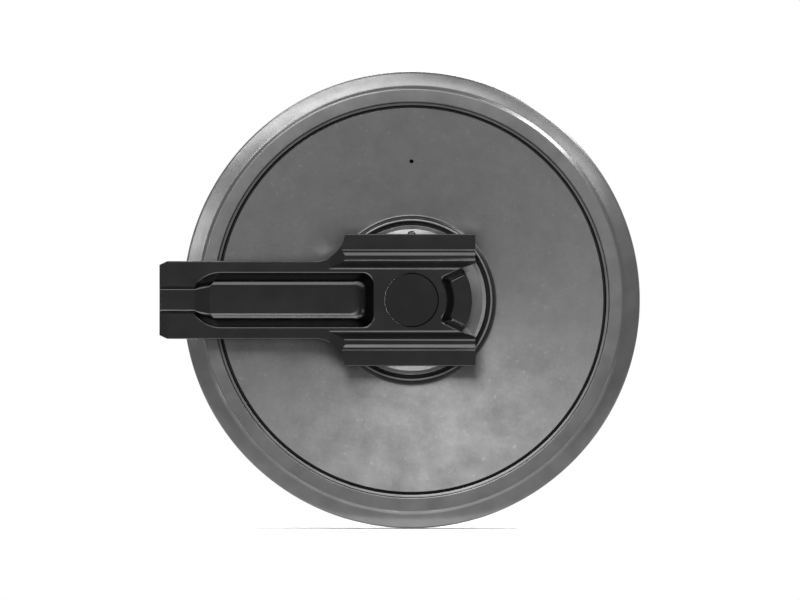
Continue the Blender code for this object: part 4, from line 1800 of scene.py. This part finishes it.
    def channel(self) -> bpy.types.Mesh:
        """Make the cutter for the arm's channel and the slot that leads out of it.

        Returns:
            The cutter.
        """
        levels = self.channel_levels()
        rows = [(self.channel_row(levels[0][0], 0.0), OVERCUT)]
        rows += [(self.channel_row(share, depth), 0.0) for share, depth in levels]
        shape = bmesh.new()
        rings = []
        for row, lift in rows:
            upper = [shape.verts.new((x, self.face + lift - drop, z)) for x, z, drop in row]
            lower = [shape.verts.new((x, self.face + lift - drop, -z)) for x, z, drop in row]
            rings.append((upper, lower))
        last = len(rows[0][0]) - 1
        for near, far in zip(rings, rings[1:]):
            for above, below in zip(near, far):
                bridge(shape, above, below)
            for index in (0, last):
                shape.faces.new((near[0][index], near[1][index], far[1][index], far[0][index]))
        for upper, lower in (rings[0], rings[-1]):
            bridge(shape, upper, lower)
        return mesh_from("arm_channel", shape)

    def scallop_row(self, offset: float) -> list[Point]:
        """Outline of the pocket in the block's front at one level.

        Args:
            offset: How far the walls stand back from where they are on the ledge.

        Returns:
            Closed loop of (x, z) points.
        """
        radius = self.bore + self.scallop_wall + self.scallop_draft - offset
        along = Vector((math.cos(self.scallop_spread), math.sin(self.scallop_spread)))
        across = Vector((-along.y, along.x))
        rise = offset - self.scallop_corner
        reach = math.sqrt((radius + self.scallop_corner) ** 2 - rise ** 2)
        centre = along * reach + across * rise
        bearing = math.atan2(centre.y, centre.x)
        turns = [bearing * step / self.scallop_steps for step in range(self.scallop_steps)]
        row = [(radius * math.cos(turn), radius * math.sin(turn)) for turn in turns]
        start = math.degrees(bearing) + 180
        finish = math.degrees(self.scallop_spread) + 90
        middle = (centre.x, centre.y)
        row += arc(middle, self.scallop_corner, start, finish, self.scallop_corner_steps)
        far = along * (self.shop.layout.block_front + self.boss_radius) + across * offset
        row.append((far.x, far.y))
        return row + [(x, -z) for x, z in reversed(row[1:])]

    def scallop(self) -> bpy.types.Mesh:
        """Make the cutter for the drafted pocket between the axle's collar and the ledge.

        Returns:
            The cutter.
        """
        wall = rounded(
            [
                Corner(-self.scallop_fillet * 2, self.ledge_face),
                Corner(0.0, self.ledge_face, self.scallop_fillet),
                Corner(self.scallop_draft, self.face, self.lip_round),
                Corner(self.scallop_draft + self.lip_run, self.face + self.lip_lift),
                Corner(self.scallop_draft + self.lip_run, self.face + OVERCUT),
            ],
            closed=False,
        )[1:]
        rings = [[(x, station, z) for x, z in self.scallop_row(offset)] for offset, station in wall]
        return loft("front_scallop", rings)

    def arm_end_wedge(self) -> bpy.types.Mesh:
        """Make the wedge that chamfers the outer edge of the arm's end.

        Returns:
            The cutter.
        """
        end_length, end_drop = self.arm_end
        reach = self.shop.layout.arm_reach
        slope = end_length / end_drop
        low = self.face - end_drop
        outline = [
            (-reach - slope * OVERCUT, low - OVERCUT),
            (-reach + end_length + slope * OVERCUT, self.face + OVERCUT),
            (-reach - slope * OVERCUT, self.face + OVERCUT),
        ]
        wide = self.arm_half + OVERCUT
        return loft("arm_end_wedge", [[(x, y, z) for x, y in outline] for z in (-wide, wide)])

    def seal_pocket(self) -> bpy.types.Mesh:
        """Make the cutter for the seal cavity and the axle bore.

        Returns:
            The cutter.
        """
        boss_face = self.shop.layout.boss_face
        flare = self.cavity_flare
        section = rounded(
            [
                Corner(0.0, boss_face - OVERCUT),
                Corner(self.seal_cavity + flare + OVERCUT, boss_face - OVERCUT),
                Corner(self.seal_cavity, boss_face + flare, self.cavity_edge),
                Corner(self.seal_cavity, self.seal_cavity_floor, self.cavity_fillet),
                Corner(self.bore, self.seal_cavity_floor),
                Corner(self.bore, self.face + OVERCUT),
                Corner(0.0, self.face + OVERCUT),
            ],
            closed=False,
        )
        return lathe("seal_pocket", section, HUB_SEGMENTS, closed=False)

    def holes(self) -> list[bpy.types.Mesh]:
        """Make the cutters for the lock pin's hole and the two bolt holes.

        Returns:
            The three cutters.
        """
        layout = self.shop.layout
        low = Vector((0.0, layout.pin_station, self.bore / 2))
        high = Vector((0.0, layout.pin_station, layout.block_half + OVERCUT))
        cutters = [rod("lock_pin_hole", self.pin_hole, low, high)]
        for name, height in (("above", self.bolt_height), ("below", -self.bolt_height)):
            mouth = Vector((-layout.arm_reach - OVERCUT, self.bolt_station, height))
            bottom = Vector((-layout.arm_reach + self.bolt_depth, self.bolt_station, height))
            cutters.append(rod(f"bolt_hole_{name}", self.bolt_hole, mouth, bottom))
        return cutters

    def build(self) -> None:
        """Make the rear bracket and mirror it to the front."""
        cutters = [
            self.groove(1),
            self.groove(-1),
            self.channel(),
            self.scallop(),
            self.arm_end_wedge(),
            self.seal_pocket(),
            *self.holes(),
        ]
        steps = [("UNION", self.boss())] + [("DIFFERENCE", cutter) for cutter in cutters]
        rear = carved("bracket_casting_rear", self.blank(), steps)
        front = mirrored(rear, "bracket_casting_front")
        for side, mesh in ((Side.FRONT, front), (Side.REAR, rear)):
            node = f"bracket_{side.label}"
            self.shop.place(mesh, self.paint, Body.CARRIER, Slot.BLACK_PAINT, node)


@dataclass
class LockPins:
    """Pins that hold the axle in the brackets; each has a domed head."""

    shop: Workshop
    dome: float = 0.0037
    dome_steps: int = 8
    foot_chamfer: float = 0.0006
    black_oxide: TurnedFinish = TurnedFinish("dark_oxide", NEUTRAL, 0.045, 0.38, 0.0)

    def build(self) -> None:
        """Make both pins."""
        layout = self.shop.layout
        radius = layout.pin_radius
        section = [
            (0.0, layout.pin_foot),
            (radius - self.foot_chamfer, layout.pin_foot),
            (radius, layout.pin_foot + self.foot_chamfer),
        ]
        for step in range(self.dome_steps):
            turn = math.radians(90 * step / self.dome_steps)
            height = layout.pin_top - self.dome * (1 - math.sin(turn))
            section.append((radius * math.cos(turn), height))
        section.append((0.0, layout.pin_top))
        upright = Matrix.Rotation(math.pi / 2, 4, "X")
        for side in Side:
            mesh = lathe(f"lock_pin_fine_{side.label}", section, SMALL_SEGMENTS, closed=False)
            station = side.value * layout.pin_station
            mesh.transform(Matrix.Translation((0.0, station, 0.0)) @ upright)
            node = f"lock_pin_{side.label}"
            self.shop.place(mesh, self.black_oxide, Body.CARRIER, Slot.PIN_STEEL, node)


def area_lamp(
    name: str, size: Point, radiance: float, place: Vector, turn: Euler
) -> bpy.types.Object:
    """Put a rectangular area light in the scene, which the camera itself doesn't see.

    Args:
        name: Name of the lamp.
        size: Its width and height.
        radiance: Brightness of its face, where 1 is white.
        place: Its middle.
        turn: Its rotation; unturned, it shines down.

    Returns:
        The lamp.
    """
    light = bpy.data.lights.new(name, "AREA")
    light.shape = "RECTANGLE"
    light.size, light.size_y = size
    light.energy = WHITE_POWER * size[0] * size[1] * radiance
    lamp = bpy.data.objects.new(name, light)
    lamp.location = place
    lamp.rotation_euler = turn
    lamp.visible_camera = False
    bpy.context.scene.collection.objects.link(lamp)
    return lamp


@dataclass(frozen=True)
class SoftLamp:
    """Rectangular light that faces a point on the axle.

    It stands off_axis degrees away from the axle's direction, on the clock side that is
    counted in degrees from +X towards +Z, and faces the station that aim gives.
    """

    name: str
    off_axis: float
    clock: float
    distance: float
    size: Point
    radiance: float
    sides: tuple[Side, ...] = (Side.FRONT,)
    lit: Lit = Lit.ALL
    aim: float = 0.0

    def build(self, groups: dict[Lit, bpy.types.Collection]) -> None:
        """Put the lamp in the scene, once on each of its sides.

        Args:
            groups: Pieces that single lamps shine on.
        """
        off_axis = math.radians(self.off_axis)
        clock = math.radians(self.clock)
        x = math.sin(off_axis) * math.cos(clock)
        y = math.cos(off_axis)
        z = math.sin(off_axis) * math.sin(clock)
        for side in self.sides:
            bearing = Vector((x, side.value * y, z))
            place = bearing * self.distance + Vector((0.0, side.value * self.aim, 0.0))
            turn = (-bearing).to_track_quat("-Z", "Y").to_euler()
            lamp = area_lamp(f"{self.name}_{side.label}", self.size, self.radiance, place, turn)
            if self.lit is not Lit.ALL:
                lamp.light_linking.receiver_collection = groups[self.lit]


@dataclass(frozen=True)
class FloorLamp:
    """Long light lying on the floor on both sides of the wheel, for one group of pieces."""

    name: str
    near: float
    far: float
    width: float
    radiance: float
    lit: Lit
    lift: float = 0.001

    def build(self, floor: float, groups: dict[Lit, bpy.types.Collection]) -> None:
        """Put the lamp in the scene, once on each side.

        Args:
            floor: Height of the floor.
            groups: Pieces that single lamps shine on.
        """
        size = (self.width, self.far - self.near)
        for side in Side:
            place = Vector((0.0, side.value * (self.near + self.far) / 2, floor + self.lift))
            turn = Euler((math.pi, 0.0, 0.0))
            lamp = area_lamp(f"{self.name}_{side.label}", size, self.radiance, place, turn)
            lamp.light_linking.receiver_collection = groups[self.lit]


REAR_ONLY = (Side.REAR,)
BOTH_SIDES = (Side.FRONT, Side.REAR)


def with_mirror_rays(
    tree: bpy.types.NodeTree, path: bpy.types.Node, seen: bpy.types.NodeSocket
) -> bpy.types.NodeSocket:
    """Let the rays that gloss and glass send see what another mask already shows.

    Args:
        tree: Node tree to build in.
        path: Its Light Path node.
        seen: Mask of the rays that see the surroundings so far.

    Returns:
        Socket with the wider mask.
    """
    for kind in MIRROR_RAYS:
        either = tree.nodes.new("ShaderNodeMath")
        either.operation = "MAXIMUM"
        tree.links.new(seen, either.inputs[0])
        tree.links.new(path.outputs[kind], either.inputs[1])
        seen = either.outputs[0]
    return seen


@dataclass
class Studio:
    """Pale floor, soft light and the camera at the photograph's angle."""

    layout: Layout
    groups: dict[Lit, bpy.types.Collection]
    photo_width: float = 800.0
    metres_per_pixel: float = 0.001315
    wheel_pixel: Point = (411.5, 300.0)
    photo_middle: Point = (400.0, 300.0)
    camera_distance: float = 30.0
    sensor: float = 36.0
    floor_size: float = 5.0
    floor_gap: float = 0.0005
    fill_strength: float = 0.30
    floor_shaded: float = 0.5
    floor_white: float = 1.5
    floor_tone: float = 0.9
    floor_roughness: float = 0.9
    # Name, degrees off the axle, clock, distance, size and radiance of each lamp
    lamps: tuple[SoftLamp, ...] = (
        SoftLamp("key_near_camera", 18.0, 104.0, 10.0, (2.33, 2.33), 14.5),
        SoftLamp("flange_top", 39.0, 90.0, 2.6, (1.4, 0.4), 9.5),
        SoftLamp("flange_high_left", 50.0, 126.0, 2.6, (1.8, 0.4), 11.0),
        SoftLamp("flange_left", 51.0, 163.0, 2.6, (0.9, 0.4), 9.0),
        SoftLamp("flange_right", 40.0, 44.0, 2.6, (1.0, 0.4), 8.0),
        SoftLamp("edge_right", 90.0, 52.0, 2.2, (2.2, 0.6), 16.0),
        SoftLamp("key_behind", 18.0, 76.0, 10.0, (2.33, 2.33), 9.0, REAR_ONLY),
        SoftLamp("high_behind", 48.0, 62.0, 2.6, (1.4, 0.6), 6.0, REAR_ONLY),
        SoftLamp("rim_line", 64.0, 112.0, 2.4, (1.8, 0.5), 7.0, BOTH_SIDES, Lit.RIM),
        SoftLamp(
            "bracket_line", 58.0, 90.0, 2.2, (1.6, 0.3), 15.0, BOTH_SIDES, Lit.BRACKETS, aim=0.13
        ),
        SoftLamp(
            "housing_top", 21.0, 90.0, 2.2, (0.5, 0.4), 28.0, BOTH_SIDES, Lit.HOUSINGS, aim=0.09
        ),
        SoftLamp(
            "housing_right", 21.0, 28.0, 2.2, (0.5, 0.4), 7.0, BOTH_SIDES, Lit.HOUSINGS, aim=0.09
        ),
    )
    # Name, nearest and furthest station, width and radiance
    floor_lamps: tuple[FloorLamp, ...] = (
        FloorLamp("bracket_below", 0.26, 0.62, 1.4, 6.5, Lit.BRACKETS),
        FloorLamp("housing_below", 0.52, 0.90, 0.3, 26.0, Lit.HOUSINGS),
        FloorLamp("flange_below", 0.052, 0.30, 1.6, 0.6, Lit.RIM),
        FloorLamp("chamfer_below", 0.034, 0.052, 1.6, 1.8, Lit.RIM),
    )

    def build_world(self) -> None:
        """Make the surroundings white for camera, gloss and glass, and dimmer as a fill light."""
        world = bpy.data.worlds.new("pale_studio")
        bpy.context.scene.world = world
        world.use_nodes = True
        tree = world.node_tree
        tree.nodes.clear()
        path = tree.nodes.new("ShaderNodeLightPath")
        seen = with_mirror_rays(tree, path, path.outputs["Is Camera Ray"])
        strength = tree.nodes.new("ShaderNodeMapRange")
        strength.inputs["To Min"].default_value = self.fill_strength
        strength.inputs["To Max"].default_value = 1.0
        tree.links.new(seen, strength.inputs["Value"])
        background = tree.nodes.new("ShaderNodeBackground")
        background.inputs["Color"].default_value = (1.0, 1.0, 1.0, 1.0)
        tree.links.new(strength.outputs["Result"], background.inputs["Strength"])
        output = tree.nodes.new("ShaderNodeOutputWorld")
        tree.links.new(background.outputs[0], output.inputs["Surface"])

    def floor_material(self) -> bpy.types.Material:
        """Make the floor pale near the object, and white far off and in reflections.

        Returns:
            The material.
        """
        material = bpy.data.materials.new("pale_floor")
        material.use_nodes = True
        tree = material.node_tree
        shader = tree.nodes["Principled BSDF"]
        shader.inputs["Base Color"].default_value = (*[self.floor_tone] * 3, 1.0)
        shader.inputs["Roughness"].default_value = self.floor_roughness
        place = tree.nodes.new("ShaderNodeTexCoord")
        away = tree.nodes.new("ShaderNodeVectorMath")
        away.operation = "LENGTH"
        tree.links.new(place.outputs["Object"], away.inputs[0])
        far_off = tree.nodes.new("ShaderNodeMapRange")
        far_off.inputs["From Min"].default_value = self.floor_shaded
        far_off.inputs["From Max"].default_value = self.floor_white
        tree.links.new(away.outputs["Value"], far_off.inputs["Value"])
        path = tree.nodes.new("ShaderNodeLightPath")
        seen = tree.nodes.new("ShaderNodeMath")
        seen.operation = "MULTIPLY"
        tree.links.new(path.outputs["Is Camera Ray"], seen.inputs[0])
        tree.links.new(far_off.outputs["Result"], seen.inputs[1])
        white = with_mirror_rays(tree, path, seen.outputs[0])
        glow = tree.nodes.new("ShaderNodeEmission")
        mix = tree.nodes.new("ShaderNodeMixShader")
        tree.links.new(white, mix.inputs["Fac"])
        tree.links.new(shader.outputs[0], mix.inputs[1])
        tree.links.new(glow.outputs[0], mix.inputs[2])
        tree.links.new(mix.outputs[0], tree.nodes["Material Output"].inputs["Surface"])
        return material

    def build_floor(self) -> None:
        """Lay the floor under the wheel."""
        half = self.floor_size / 2
        height = -self.layout.wheel_radius - self.floor_gap
        shape = bmesh.new()
        bmesh.ops.create_grid(shape, x_segments=1, y_segments=1, size=half)
        bmesh.ops.translate(shape, verts=shape.verts, vec=(0.0, 0.0, height))
        mesh = bpy.data.meshes.new("studio_floor")
        shape.to_mesh(mesh)
        shape.free()
        mesh.materials.append(self.floor_material())
        floor = bpy.data.objects.new("studio_floor", mesh)
        bpy.context.scene.collection.objects.link(floor)

    def build_camera(self) -> None:
        """Set the camera far off on the wheel's axis side, framed as the photograph is."""
        data = bpy.data.cameras.new("photo_camera")
        data.sensor_width = self.sensor
        data.lens = self.sensor * self.camera_distance / (self.photo_width * self.metres_per_pixel)
        camera = bpy.data.objects.new("photo_camera", data)
        across = (self.photo_middle[0] - self.wheel_pixel[0]) * self.metres_per_pixel
        up = (self.wheel_pixel[1] - self.photo_middle[1]) * self.metres_per_pixel
        camera.location = (across, -self.camera_distance, up)
        camera.rotation_euler = (math.pi / 2, 0.0, 0.0)
        bpy.context.scene.collection.objects.link(camera)
        bpy.context.scene.camera = camera

    def build(self) -> None:
        """Make the surroundings."""
        self.build_world()
        self.build_floor()
        for lamp in self.lamps:
            lamp.build(self.groups)
        for lamp in self.floor_lamps:
            lamp.build(-self.layout.wheel_radius - self.floor_gap, self.groups)
        self.build_camera()
        bpy.context.scene.view_settings.view_transform = "Standard"


def main() -> None:
    """Build the idler's looks and its studio."""
    logging.basicConfig(level=logging.INFO, format="%(name)s: %(message)s")
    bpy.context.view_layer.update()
    layout = Layout.from_frame()
    shop = Workshop(layout)
    RunningWheel(shop).build()
    for side in Side:
        SealEnd(shop, side).build()
    FixedAxle(shop).build()
    BearingBracket(shop).build()
    LockPins(shop).build()
    Studio(layout, shop.groups).build()
    log.info("%d pieces built", len(shop.finished))


if __name__ == "__main__":
    main()
